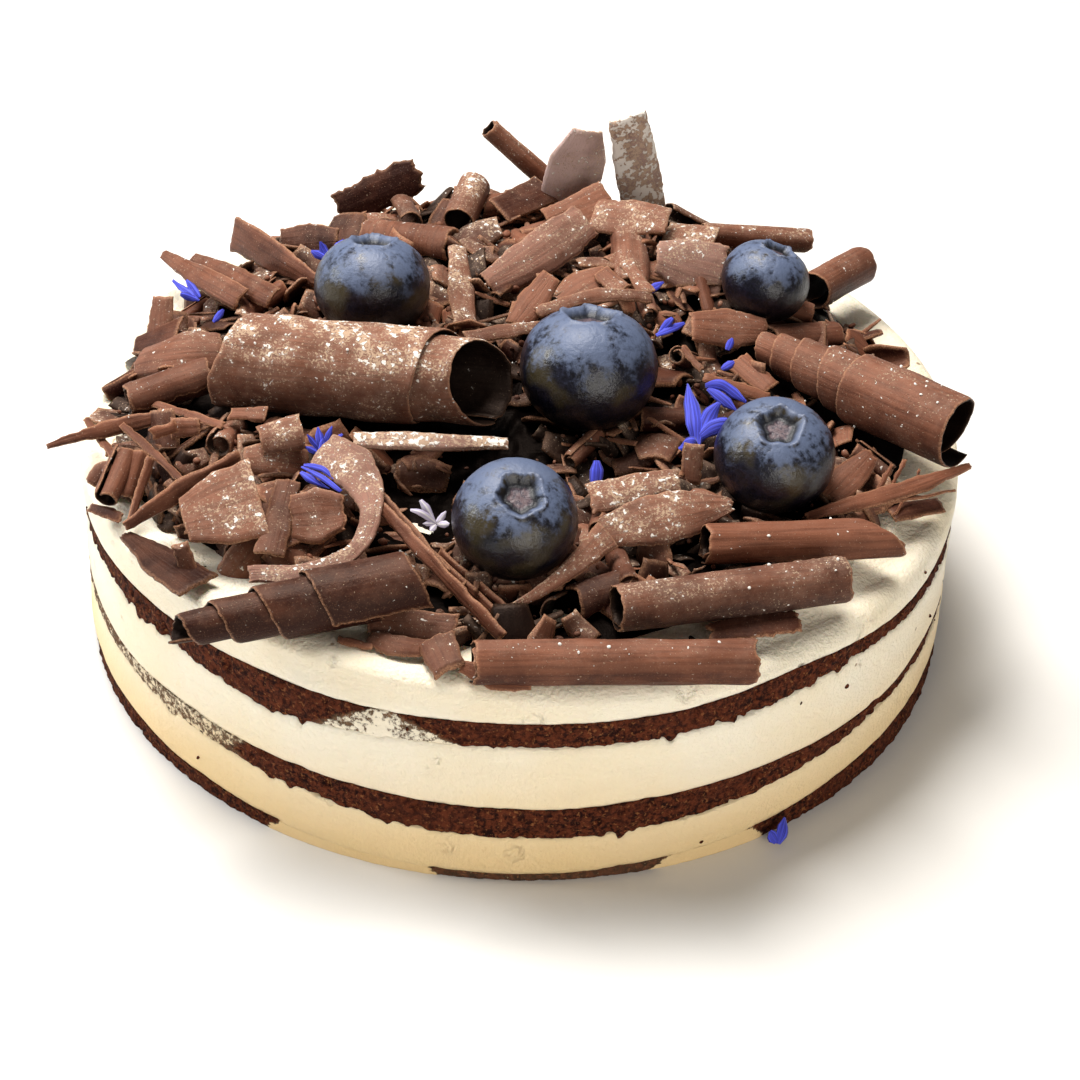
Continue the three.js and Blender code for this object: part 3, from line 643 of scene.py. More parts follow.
def makeLayer(name, low, high):
    isSponge = name.startswith("sponge")
    rows = (spongeSide if isSponge else creamSide)["rows"]
    hidden = smearAt("sponge_base", 1.0) if name == "cream_lower" else 0
    radii, levels, covers = [], [], []
    for row in range(rows + 1):
        share = row / rows
        level = lerp(low, high, share)
        levels.append(level)
        if isSponge:
            covers.append(smearAt(name, share))
            radii.append(spongeRadius(level, covers[-1]))
        else:
            radius, rounding = creamRadius(level, np.minimum(share, 1 - share) * (high - low))
            dents = creamSide["dents"] * smoothStep(0.45, 0.9, lumps(wallX, wallY, level, 4.5, 35))
            radii.append(radius - rounding * (1 - np.clip(hidden, 0, 1)) - dents)
    inner = [0.9 * cake["radius"] + 0 * sideX]
    mesh = makeMesh(name + "_fine", *stackRings(inner + radii + inner, [low, *levels, high], covers or None))
    material, slot = (sponge, "sponge") if isSponge else (cream, "cream")
    makePiece(name + "_fine", mesh, material, [name])


def makeTopCream():
    # the wall, a rim that is sharp at the front left and slopes at the front right, and the spread top
    drop = creamRim["drop"] + 2 * swell(sideAngles, -45, 35)
    low, shoulder = heights["upperTop"], rimHeight - drop
    radii, levels = [0.9 * cake["radius"] + 0 * sideX], [low]
    for row in range(creamSide["rows"] + 1):
        share = row / creamSide["rows"]
        levels.append(lerp(low, shoulder, share))
        radius, rounding = creamRadius(levels[-1], share * (shoulder - low))
        radii.append(radius - rounding)
    edge = radii[-1]
    for step in range(1, creamRim["steps"] + 1):
        turn = step / creamRim["steps"] * math.pi / 2
        radii.append(edge - creamRim["reach"] * (1 - math.cos(turn)))
        levels.append(shoulder + drop * math.sin(turn))
    for inward in np.concatenate([np.linspace(4.4, 14, 14), np.linspace(20, 70, 9)]):
        ring = cake["radius"] - inward
        x, y = ring * sideX, ring * sideY
        strokes = creamRim["strokes"] * lumps(x, y * 2.2, 0, 9, 41)
        strokes = strokes + creamRim["fineStrokes"] * roughLumps(x, y * 3, 0, 3, 43)
        flat = smoothStep(creamRim["reach"], creamRim["slope"], inward)
        spread = lerp(rimHeight, cake["creamHeight"] + 0 * sideX, flat)
        radii.append(ring + 0 * sideX)
        levels.append(spread + strokes * smoothStep(3, 6, inward) - creamSide["recess"])
    mesh = makeMesh("cream_top_fine", *stackRings(radii, levels))
    makePiece("cream_top_fine", mesh, cream, ["cream_top"])


layers = ["sponge_base", "cream_lower", "sponge_middle", "cream_middle", "sponge_upper"]
for name, low, high in zip(layers, heights.values(), list(heights.values())[1:]):
    makeLayer(name, low, high)
makeTopCream()
print("sponges and creams made")


# ---------- bent sheets ----------

def gather(t):
    # grid lines drawn a little towards both ends, for crisp edges
    return lerp(t, 0.5 - 0.5 * np.cos(math.pi * t), 0.55)


def buildSheet(surface, length, width, look):
    # a closed torn sheet on surface(u, v); length runs with u and width with v, both in mm
    seed, torn = look.get("seed", 0), look.get("torn", 0.6)
    u, v = np.meshgrid(*[gather(np.linspace(0, 1, count + 1)) for count in look["grid"]], indexing="ij")

    def tear(spot, side):
        long, short = lumps(spot, side * 9.3, 0, 2.9, seed), lumps(spot, side * 5.1, 0, 0.8, seed)
        return torn * (0.5 + 0.32 * long + 0.3 * short)

    uu = lerp(tear(v * width, 1) / length, 1 - tear(v * width, 2) / length, u)
    vv = lerp(tear(u * length, 3) / width, 1 - look.get("fray", 1) * tear(u * length, 4) / width, v)
    nudge = 0.004
    normal = unit(np.cross(surface(uu + nudge, vv) - surface(uu - nudge, vv),
                           surface(uu, vv + nudge) - surface(uu, vv - nudge)))
    ridge, spacing = look.get("ridge", 0.1), look.get("spacing", 1.3)
    x, y = (uu * length, vv * width) if not look.get("across") else (vv * width, uu * length)
    fineRidge = lumps(0.1 * x, y, 0, spacing / 2.3, seed + 2)
    relief = ridge * (lumps(0.05 * x, y, 0, spacing, seed + 1) + 0.5 * fineRidge)
    warp = lumps(uu * length, vv * width, 0, look.get("warpSize", 8), seed + 3)
    relief = relief + look.get("warp", 0.4) * warp
    middle = surface(uu, vv) + normal * relief[..., None]
    fromEdge = np.minimum(np.minimum(u, 1 - u) * length, np.minimum(v, 1 - v) * width)
    half = look.get("thickness", 0.7) / 2 * (0.4 + 0.6 * smoothStep(0, 0.7, fromEdge))
    outer = (middle + normal * half[..., None]).reshape(-1, 3)
    inner = (middle - normal * half[..., None]).reshape(-1, 3)
    count = len(outer)
    spots = np.arange(count).reshape(u.shape)
    a, b, c, d = spots[:-1, :-1], spots[1:, :-1], spots[1:, 1:], spots[:-1, 1:]
    faces = [np.stack([a, b, c, d], -1).reshape(-1, 4), np.stack([d, c, b, a], -1).reshape(-1, 4) + count]
    for line in (spots[::-1, 0], spots[:, -1], spots[0, :], spots[-1, ::-1]):
        faces.append(np.stack([line[:-1], line[1:], line[1:] + count, line[:-1] + count], -1))
    plan = np.tile(np.stack([uu * length, vv * width], -1).reshape(-1, 2), (2, 1))
    tone, dust = look.get("tone", 0.0), look.get("dust", 0.5)
    # the first half of the points is a roll's inner face, painted dark as shade and given less dust
    inward = np.arange(2 * count) < (count if "innerShadeTone" in look else 0)
    values = {
        "edge": np.tile((1 - smoothStep(0.05, 0.55, fromEdge)).ravel(), 2),
        "dust": np.where(inward, 0.05 * dust, dust), "across": float(bool(look.get("across"))),
        "tone": np.where(inward, look.get("innerShadeTone", tone), tone), "paintedSheen": look.get("paintedSheen", 0.0),
        "cling": look.get("cling", 0.15), "boreShade": np.where(inward, 1.0, 0.0)}
    return np.concatenate([outer, inner]), np.concatenate(faces).tolist(), values, plan


def makeSheetPiece(name, parts, material, nodes):
    makePiece(name, joinedMesh(name, parts), material, nodes)


# ---------- rolled curls ----------

curlLook = dict(innerShadeTone=-1.0, thickness=0.62, torn=0.7, ridge=0.07, warp=0.12, warpSize=5)
# radii run from the innermost edge to the outermost, in mm
rolls = {
    "curl_large": dict(start=(-54, -10, 57.5), end=(-4, -16.5, 58.3), radii=(6.5, 8.6), turns=2.2, width=37,
        seam=-100, hold=0.45, settle=0.8, reversed=True, grid=(70, 150), dust=1.4, tone=0.35, torn=0.9,
        flatten=0.04, warp=0.3, slant=9.5, slantReach=17, extra=2.2, cling=0.4),
    "cone_right": dict(start=(42.5, 10, 51.5), end=(77, -19.5, 53), radii=(2.1, 6.6), turns=5, width=23,
        easing=1.4, settle=0.88, seam=-60, grid=(44, 240), dust=0.5, tone=0.2, cling=0.4),
    "cone_left": dict(start=(-56, -72, 44.8), end=(-14, -62, 49.5), radii=(1.8, 5.6), turns=4, width=17,
        easing=1.4, seam=200, grid=(36, 190), dust=0.17, tone=-1.35, cling=0.15),
    "roll_front": dict(start=(-7, -77.7, 45.3), end=(39.5, -73, 43.8), radii=(2.3, 3.7), turns=1.6, seam=50,
        grid=(90, 70), dust=0.3, tone=0.35, ridge=0.22, spacing=1.5, torn=1.3, fray=0.3),
    "roll_middle": dict(start=(16, -65, 47.2), end=(55, -53.5, 46.3), radii=(2.9, 4.2), turns=1.5, seam=-150,
        grid=(80, 70), dust=0.7, tone=-0.2, cling=0.45, ridge=0.1, torn=1.0),
    "roll_right": dict(start=(30.5, -48.5, 48.6), end=(66, -40.5, 45.6), radii=(2.1, 3.3), turns=1.3,
        seam=150, grid=(76, 56), dust=0.15, tone=0.75, ridge=0.28, spacing=1.7, torn=1.6, fray=0.3, slant=9,
        slantAngle=20, slantReach=13),
    "roll_back_right": dict(start=(54, 29, 51.5), end=(65, 42.5, 50), radii=(2.8, 4), turns=1.3, seam=-90,
        grid=(34, 56), dust=0.4, tone=0.1, torn=1.2),
    "roll_left": dict(start=(-70, -14, 49.6), end=(-55, -8, 52.5), radii=(2.3, 3.5), turns=1.3, seam=90,
        grid=(34, 56), dust=0.3, tone=-0.1, ridge=0.14, torn=1.4),
    "roll_left_small": dict(start=(-70, -39, 46.5), end=(-67.5, -29, 50), radii=(1.3, 2.3), turns=1.1,
        seam=30, grid=(26, 40), dust=0.2, tone=0.1),
    "roll_back_tall": dict(start=(5.7, 66, 50.9), end=(-8.5, 66, 64.3), radii=(1.5, 2.0), turns=1.1, seam=60,
        grid=(40, 40), dust=0.9, tone=0.9, ridge=0.14, cling=0.4),
    "roll_back_small": dict(start=(-13.5, 44, 55), end=(-10.5, 55, 57.8), radii=(2.2, 3.2), turns=1.1,
        seam=180, grid=(30, 46), dust=1.1, tone=0.3),
    "roll_back_bar": dict(start=(33.5, 46.5, 53), end=(55.5, 51, 49.6), radii=(1.4, 2.4), turns=1.1,
        seam=-90, grid=(46, 40), dust=0.9, tone=0.2),
}


def rollSurface(roll):
    start = np.array(roll["start"], float)
    axis = np.array(roll["end"], float) - start
    length = np.linalg.norm(axis)
    axis = axis / length
    side = unit(np.cross(up, axis))
    normal = np.cross(axis, side)
    width = roll.get("width", length)
    hold, settle = roll.get("hold", 0), roll.get("settle", 1)
    # a slanted mouth: how far the near side falls short, and how far along the slant reaches
    slant, slantAngle = roll.get("slant", 0), math.radians(roll.get("slantAngle", 140))
    reach, extra = roll.get("slantReach", 1), roll.get("extra", 0)

    def surface(u, v):
        angle = math.radians(roll["seam"]) + 2 * math.pi * roll["turns"] * v
        radius = lerp(*roll["radii"], v)
        progress = np.clip((v - hold) / (settle - hold), 0, 1) ** roll.get("easing", 1)
        shift = (length - width) * (1 - progress if roll.get("reversed") else progress)
        radius = radius * (1 - roll.get("flatten", 0.02) * np.cos(2 * angle))
        place = shift + width * u
        ending = smoothStep(length - reach, length, place)
        place = place + ending * (extra - slant * (0.5 + 0.5 * np.cos(angle - slantAngle)))
        return (start + axis * place[..., None] + side * (radius * np.cos(angle))[..., None]
                + normal * (radius * np.sin(angle))[..., None])

    return surface, width, 2 * math.pi * roll["turns"] * sum(roll["radii"]) / 2


for seed, (name, roll) in enumerate(rolls.items()):
    part = buildSheet(*rollSurface(roll), {**curlLook, "seed": 50 + seed, **roll})
    makeSheetPiece(name + "_fine", [part], chocolate, [name])
print("rolled curls made")


# ---------- broken shards ----------

def routeThrough(points):
    # a smooth route through the points: its length, and its place and direction at t from 0 to 1
    points = np.asarray(points, float)
    if len(points) == 2:
        dense = lerp(points[0], points[1], np.linspace(0, 1, 9)[:, None])
    else:
        ends = [2 * points[0] - points[1], *points, 2 * points[-1] - points[-2]]
        dense = [points[0]]
        for p0, p1, p2, p3 in zip(ends, ends[1:], ends[2:], ends[3:]):
            for t in np.linspace(0, 1, 13)[1:]:
                dense.append(0.5 * (2 * p1 + (p2 - p0) * t + (2 * p0 - 5 * p1 + 4 * p2 - p3) * t ** 2
                                    + (3 * p1 - p0 - 3 * p2 + p3) * t ** 3))
        dense = np.array(dense)
    distance = np.concatenate([[0], np.cumsum(np.linalg.norm(np.diff(dense, axis=0), axis=1))])
    length = distance[-1]
    directions = unit(np.gradient(dense, distance, axis=0))

    def place(t):
        inside = np.clip(t, 0, 1)
        spots = np.stack([np.interp(inside * length, distance, dense[:, k]) for k in range(3)], -1)
        ways = unit(np.stack([np.interp(inside * length, distance, directions[:, k]) for k in range(3)], -1))
        return spots + ways * ((t - inside) * length)[..., None], ways

    return length, place


def shardSurface(shard):
    length, place = routeThrough(shard["path"])
    facing = np.array(shard.get("facing", (0, -0.5, 1)), float)
    bend = math.radians(shard.get("arc", 30))

    def surface(u, v):
        middle, tangent = place(u)
        side = unit(np.cross(facing, tangent))
        normal = np.cross(tangent, side)
        across = bend * (v - 0.5)
        radius = along(shard["widths"], u) / bend
        return (middle + side * (radius * np.sin(across))[..., None]
                + normal * (radius * (np.cos(across) - 1))[..., None])

    return surface, length, max(shard["widths"])


shardLook = dict(thickness=0.95, torn=0.9, ridge=0.09, spacing=1.1, warp=0.35, warpSize=7, grid=(30, 18))
shards = {
    "shard_tall": dict(path=[(24, 56, 48), (18.5, 54, 74)], widths=(9, 10, 8.5), facing=(0.2, -1, 0.3),
        arc=50, dust=3.0, tone=1.1, grid=(40, 22), across=True, paintedSheen=0.5, cling=0.9),
    "shard_back": dict(path=[(6.5, 54.5, 49.5), (11, 53, 71)], widths=(8, 12, 12, 6), facing=(0.3, -1, 0.5),
        arc=40, dust=1.9, tone=1.0, torn=0.4, grid=(40, 24), paintedSheen=0.82, cling=0.45),
    "shard_back_left": dict(path=[(-38.5, 58, 48.5), (-20.5, 60, 57)], widths=(7, 10, 8),
        facing=(0.3, -1, 0.6), thickness=1.4, dust=0.1, tone=-1.4, warp=0.9, torn=2.0),
    "gutter_back_left": dict(path=[(-32, 40.5, 55.5), (-14.5, 33, 58.5)], widths=(10, 11),
        facing=(0, -0.4, 1), arc=190, dust=0.4, tone=0.1, grid=(34, 34), across=True),
    "blade_back": dict(path=[(-7.5, 20, 55.5), (2, 27, 58.5), (11.5, 36.5, 61.5)], widths=(5, 9, 10, 8),
        facing=(0, -1, 0.9), arc=60, dust=0.9, tone=0.25, grid=(44, 22), paintedSheen=0.06),
    "gutter_back": dict(path=[(19, 42, 58.5), (20, 23, 56.5)], widths=(10, 9), facing=(0, -0.4, 1), arc=170,
        dust=0.75, tone=0.1, ridge=0.2, grid=(36, 34)),
    "plate_back_right": dict(path=[(24, 31.5, 56.5), (38, 30.5, 54)], widths=(6, 12, 11),
        facing=(0.1, -1, 1), arc=40, dust=0.9, tone=0.4, paintedSheen=0.15),
    "spike_left": dict(path=[(-57.5, 47, 49.5), (-39, 23, 53.5)], widths=(8, 7, 3), facing=(-0.5, -1, 0.4),
        arc=20, dust=0.3, tone=0.0),
    "fold_left": dict(path=[(-70.5, 41.5, 47.5), (-61.5, 28.5, 50.5), (-52.5, 19, 51.5)], widths=(2, 5, 6),
        facing=(-0.5, -0.6, 1), arc=60, dust=0.3, tone=0.1),
    "arch_left": dict(path=[(-70.5, 4.5, 47), (-62.5, 0.5, 52.5), (-54, 1.5, 52.5)], widths=(9, 12, 11),
        facing=(0, -0.3, 1), arc=100, dust=0.6, tone=0.2, grid=(34, 28)),
    "splinter_left": dict(path=[(-83.5, -20.5, 44.2), (-74.5, -21, 48), (-60.5, -17.5, 50.5)],
        widths=(1.2, 3.6, 3.2), facing=(0, -1, 1), dust=0.1, tone=-0.1),
    "blade_left": dict(path=[(-66.5, -45, 45.2), (-57, -41, 50.5), (-47, -35, 53.5)], widths=(2, 4.5, 4),
        facing=(0.3, -1, 0.3), dust=0.2, tone=0.1, thickness=1.2),
    "plate_dusty": dict(path=[(-56, -47.5, 49), (-43, -45, 53)], widths=(8, 14, 15), facing=(0, -0.6, 1),
        arc=15, dust=1.0, tone=0.35, torn=0.5, thickness=1.0, cling=0.35),
    "shard_front_left": dict(path=[(-66.5, -44.5, 43.8), (-52, -59, 44.2)], widths=(2, 8, 9),
        facing=(0, 0, 1), arc=8, dust=0.06, tone=-1.5, warp=0.2),
    "plate_front_left": dict(path=[(-38.5, -46.5, 49.5), (-28.5, -47, 51.5)], widths=(8, 11, 6),
        facing=(0, -0.8, 1), arc=10, dust=0.55, tone=0.1, thickness=1.5, warp=0.6),
    "ribbon_curl": dict(
        path=[(-34.5, -34, 55), (-28, -39.5, 55.2), (-24.5, -47.5, 53.5), (-26, -56, 51.5),
              (-32.5, -62, 50.5), (-44, -62.5, 49.5)],
        widths=(9, 9, 4, 3.5, 4, 3), facing=(0, -0.5, 1), grid=(90, 16), dust=0.95, tone=0.3, thickness=1.1,
        torn=1.2, paintedSheen=0.1, warp=0.7),
    "bar_dusty": dict(path=[(-29, -27.5, 52.8), (-2, -26, 52)], widths=(3.5, 4, 2.5), facing=(0, -0.5, 1),
        thickness=1.2, dust=1.8, tone=0.5, grid=(60, 12), torn=0.5, paintedSheen=0.15, cling=0.4),
    "strip_front": dict(path=[(-25.5, -43, 53.5), (-13.5, -58.5, 50), (-1.5, -71, 44.8)],
        widths=(2.5, 3.5, 3), facing=(-0.7, -0.6, 0.4), grid=(70, 12), dust=0.15, tone=0.1),
    "blade_front": dict(path=[(-3, -65.5, 45.2), (6.5, -60, 48.6), (15.5, -49.5, 51)], widths=(1, 3, 6),
        facing=(0.2, -0.8, 1), arc=40, grid=(50, 14), dust=1.0, tone=0.3, thickness=0.8),
    "plate_middle_upper": dict(path=[(11.5, -38.5, 50), (27.5, -35, 52)], widths=(7, 7, 4),
        facing=(0, -0.5, 1), dust=1.6, tone=0.4),
    "plate_middle_lower": dict(path=[(13.5, -47, 49), (24.5, -44.5, 51), (36.5, -39.5, 50.5)],
        widths=(5, 10, 9, 2), facing=(0, -0.8, 1), arc=50, dust=1.15, tone=0.3, grid=(44, 22), torn=0.8,
        cling=0.35),
    "chip_front": dict(path=[(-24, -67, 44.5), (-9, -69, 45.2)], widths=(4, 6.5, 6), facing=(0, -0.6, 1),
        dust=0.3, tone=-0.3, ridge=0.45, spacing=1.7),
    "sheet_front_right": dict(path=[(31, -65.5, 43), (47.5, -60.5, 42.6)], widths=(4, 7, 5),
        facing=(0, -0.2, 1), arc=8, dust=0.1, tone=-0.9, torn=1.6),
    "plate_right": dict(path=[(30, 10.5, 54.5), (45, 12.5, 52.5)], widths=(6, 9, 5), facing=(0, -0.7, 1),
        arc=50, dust=0.35, tone=0.4),
    "gutter_right": dict(path=[(45.5, 13, 51.8), (59.5, 19, 49.8)], widths=(9, 8), facing=(0, -0.3, 1),
        arc=170, dust=0.2, tone=0.0, grid=(34, 30)),
    "strand_right": dict(path=[(48.5, -38, 46.8), (64, -31.5, 48), (79, -22.5, 48.2)],
        widths=(1.5, 4, 4, 1.2), facing=(-0.2, -0.6, 1), grid=(60, 12), dust=0.1, tone=0.5, ridge=0.3),
}

for seed, (name, shard) in enumerate(shards.items()):
    part = buildSheet(*shardSurface(shard), {**shardLook, "seed": 80 + seed, **shard})
    makeSheetPiece(name + "_fine", [part], chocolate, [name])
print("shards made")


# ---------- petals ----------

petalLook = dict(thickness=0.3, torn=0.2, ridge=0.05, spacing=0.9, warp=0.5, warpSize=3, grid=(22, 8),
    arc=60, widths=(0.7, 2.0, 2.6, 0.5), facing=(0, -0.8, 0.8))
# each is a tuft of slender pointed petals, given by their routes
petals = {
    "petal_right": dict(routes=[
        [(30.7, -22.3, 49.8), (30.2, -17, 53), (29.2, -9.5, 55)],
        [(31, -21.4, 50.4), (33, -17, 53), (34.6, -14.7, 54.4)],
        [(31.1, -20.4, 50.8), (34, -19.4, 52.6), (38.4, -18.3, 52.3)],
        [(30.7, -23.2, 50.4), (29.6, -24, 51.5), (27.4, -23.6, 50.8)]
    ], widths=(1.2, 3.4, 3.0, 0.4)),
    "petal_right_small": dict(routes=[
        [(32.3, -8, 53.5), (35.5, -9, 54.3), (39.8, -11.5, 52.4)],
        [(32.8, -8.7, 53.4), (35, -11, 53.2), (38, -13.2, 51.8)]
    ], widths=(0.8, 2.2, 2.4, 0.4)),
    "petal_middle": dict(routes=[[(13, -36, 50), (13, -33, 54)]], widths=(1.6, 2.6, 2.4, 0.8)),
    "petal_front_left": dict(routes=[
        [(-33.8, -32, 53), (-36.4, -30.9, 56)], [(-33.8, -32, 53), (-34.6, -29.9, 57)],
        [(-33.8, -32, 53), (-32.2, -29.6, 57)], [(-33.8, -32, 53), (-30.4, -29, 55)],
        [(-34, -32.4, 53), (-36.6, -32, 54.2)], [(-33.8, -32.6, 53), (-30.6, -31.5, 54)],
        [(-33.8, -32.6, 53), (-33.5, -31.5, 56)]
    ], widths=(0.6, 1.3, 1.5, 0.3)),
    "petal_front_dark": dict(routes=[
        [(-36.9, -37.6, 54), (-33.5, -40.5, 54.2), (-29.6, -43.2, 52.9)],
        [(-37, -38.6, 53.6), (-34.5, -40.4, 53), (-31.7, -41.6, 52.4)],
        [(-36.5, -37.2, 54), (-33.2, -39.2, 54.8), (-31, -41.2, 54)]
    ], widths=(0.5, 1.3, 1.2, 0.3)),
    "petal_left": dict(routes=[
        [(-60.9, 19.9, 50.5), (-66.2, 25, 51.5)], [(-60.6, 20.6, 50.6), (-63.4, 23.9, 52.4)],
        [(-60.5, 19.9, 50.6), (-64.2, 20.4, 51.3)]
    ], widths=(0.7, 1.7, 1.6, 0.3)),
    "petal_back_left": dict(routes=[
        [(-37, 30, 54), (-40.6, 30.8, 55.6)], [(-37, 30, 54), (-39, 31.6, 57.2)],
        [(-37, 30, 54), (-34.4, 31.3, 58)], [(-37, 30, 54), (-32.4, 30.1, 57)]
    ], widths=(0.8, 1.8, 2.0, 0.4)),
    "petal_base": dict(routes=[
        [(46.3, -69.8, 0.9), (47.4, -66.2, 4)], [(46, -69.5, 1), (44.6, -69.2, 3.4)]
    ], widths=(1, 2.4, 2.2, 0.5), facing=(0.6, -0.8, 0.8)),
}
# small bits spread over the heap, and the pale broken floret
looseTufts = {
    "petal_bits": dict(routes=[
        [(21.6, 21.3, 54.2), (25.8, 23.6, 55.6)], [(24, 8.3, 53.4), (29.4, 11, 54.6)],
        [(24.4, 9, 53.4), (27, 11, 55.6)], [(37, 5.8, 52.3), (37.9, 7, 54.3)],
        [(35.7, -0.1, 51.9), (38.1, 1, 53)], [(-57.2, 11.5, 51), (-55.2, 13, 53)]
    ], widths=(0.6, 1.5, 1.6, 0.4)),
    "pale_floret": dict(routes=[
        [(-13.5, -48.1, 50.6), (-16, -48.6, 53), (-18, -48.2, 53.4)],
        [(-13.5, -48.1, 50.6), (-16.4, -45.9, 53.8)], [(-13.5, -48.1, 50.6), (-12, -47.4, 52.8)],
        [(-13.5, -48.1, 50.6), (-11.3, -49, 51.2)], [(-13.5, -48.1, 50.6), (-14.5, -50.1, 50.6)],
        [(-13.5, -48.1, 50.6), (-15.6, -50, 52)]
    ], widths=(0.5, 1.2, 1.3, 0.3)),
}


def makeTuft(name, tuft, material, nodes):
    parts = []
    for step, route in enumerate(tuft["routes"]):
        look = {**petalLook, **tuft, "path": route, "seed": 120 + step + len(name)}
        parts.append(buildSheet(*shardSurface(look), look))
    makeSheetPiece(name + "_fine", parts, material, nodes)


for name, tuft in petals.items():
    makeTuft(name, tuft, petalBlue, [name])
for name, tuft in looseTufts.items():
    makeTuft(name, tuft, petalPale if name == "pale_floret" else petalBlue, [])
print("petals made")


# ---------- blueberries ----------

berryLook = {
    "around": 140, "down": 84, "flatness": 0.92, "eyeAngle": 23.5, "starPoints": 5, "starDepth": 3.4,
    # as shares of the radius
    "rimHeight": 0.06, "eyeDepth": 0.17, "pitDepth": 0.02, "shoulder": 0.1, "lumps": 0.018, "bumps": 0.006,
}
berries = {
    "blueberry_centre": dict(centre=(11.6, -9.5, 57.5), radius=12.2, look=(0, 0.25, 1)),
    "blueberry_front": dict(centre=(-0.5, -50, 53.5), radius=10.4, look=(0.1, -0.45, 1)),
    "blueberry_right": dict(centre=(43.5, -29, 53.5), radius=10.4, look=(0.02, -0.35, 1)),
    "blueberry_back_right": dict(centre=(44.5, 22.5, 57.2), radius=8.3, look=(0.35, 0.2, 1)),
    "blueberry_back_left": dict(centre=(-28, 14, 58.5), radius=10.6, look=(0, 0.3, 1)),
}


def makeBerry(name, berry, seed):
    around, down, size = berryLook["around"], berryLook["down"], berry["radius"]
    turn = np.linspace(0, 2 * math.pi, around, endpoint=False)
    # more rings near the eye
    polar = math.pi * np.linspace(0.006, 0.994, down) ** 1.35
    theta, phi = np.meshgrid(polar, turn, indexing="ij")
    ragged = 0.5 * lumps(np.cos(phi) * 3, np.sin(phi) * 3, 0, 1, seed)
    star = 0.5 + 0.5 * np.cos(berryLook["starPoints"] * phi + seed) + ragged
    rimAt = np.radians(berryLook["eyeAngle"] + berryLook["starDepth"] * (star - 0.5))
    inside = 1 - smoothStep(rimAt - 0.12, rimAt - 0.01, theta)
    pit = 1 - smoothStep(rimAt - 0.21, rimAt - 0.15, theta)
    jagged = 0.8 + 0.5 * lumps(np.cos(phi) * 9, np.sin(phi) * 9, 0, 1, seed + 5)
    rim = np.exp(-((theta - rimAt) / 0.032) ** 2) * (0.2 + 0.9 * np.clip(star, 0, 1.2) ** 2) * jagged
    radius = size * (1 + berryLook["rimHeight"] * rim - berryLook["eyeDepth"] * inside
                     - berryLook["pitDepth"] * pit)
    hollow = 1 - berryLook["shoulder"] * np.exp(-(theta / 0.55) ** 2)
    x = radius * np.sin(theta) * np.cos(phi)
    y = radius * np.sin(theta) * np.sin(phi)
    z = radius * np.cos(theta) * berryLook["flatness"] * hollow
    bumpy = (1 + berryLook["lumps"] * lumps(x, y, z, 6, seed)
             + berryLook["bumps"] * roughLumps(x, y, z, 1.6, seed + 1))
    points = np.stack([x, y, z], -1) * bumpy[..., None]
    floor = points[0].mean(0) - (0, 0, 0.02 * size)
    points = np.concatenate([points.reshape(-1, 3), [floor], [(0, 0, points[-1, :, 2].min())]])
    quads, spots, after = ringFaces(down, around)
    # the rings run down from the eye, so the quads turn the other way
    faces = [[a, d, c, b] for a, b, c, d in quads]
    faces += fan(around * down, spots[0], after[0]) + fan(around * down + 1, after[-1], spots[-1])
    turned = np.array(Vector((0, 0, 1)).rotation_difference(Vector(unit(berry["look"]))).to_matrix())
    # each field with its value at the eye's middle and at the foot
    fields = {"eye": (inside, 1, 0), "rim": (np.clip(rim, 0, 1), 0, 0), "pit": (pit, 1, 0),
              "down": (theta, 0, math.pi), "turnX": (np.cos(phi), 0, 0), "turnY": (np.sin(phi), 0, 0)}
    values = {key: np.append(field.ravel(), [top, bottom]) for key, (field, top, bottom) in fields.items()}
    mesh = makeMesh(name + "_fine", points @ turned.T + np.array(berry["centre"]), faces, values)
    makePiece(name + "_fine", mesh, berrySkin, [name])


for seed, (name, berry) in enumerate(berries.items()):
    makeBerry(name, berry, 5 + 3 * seed)
print("blueberries made")


# ---------- the heap of shavings ----------

# where the heap's outline reaches out or falls short: mm, and degrees round the cake
bulges = [(4, -165, 20), (-4, -125, 12), (-3, -52, 12)]
# gaps between the shavings, dark with the core's painted shade: place, radius and depth in mm
hollows = [
    (-17, -35, 11, 4), (-24, -50, 5, 3), (17, -31, 8, 3), (7, -60, 7, 3), (-3, -29, 7, 3), (52, -42, 5, 2),
    (-50, -5, 6, 2), (28, 12, 5, 2)]
core = {
    "around": 220, "rings": 70,
    "sunk": 2.4, "inset": 2.5,  # mm under and inside the heap's outline, which the loose shavings fill
    "foot": 0.4,  # mm that its edge reaches into and over the cream
    "bump": 1.5, "bumpSize": 3.4, "fineBump": 0.7, "fineSize": 1.5,
    # painted shade: so low a tone makes the core nearly black
    "tone": -2.2,
}


def heapSurface(x, y):
    level = cake["creamHeight"] + cake["heapDepth"] + 0 * x
    for moundX, moundY, height, spread in cake["mounds"]:
        level = level + height * np.exp(-((x - moundX) ** 2 + (y - moundY) ** 2) / (2 * spread ** 2))
    return level


def heapReach(angle):
    ragged = 1.6 * lumps(np.cos(angle) * 6, np.sin(angle) * 6, 0, 1, 61)
    return swellings(cake["heapRadius"], bulges, angle) + ragged


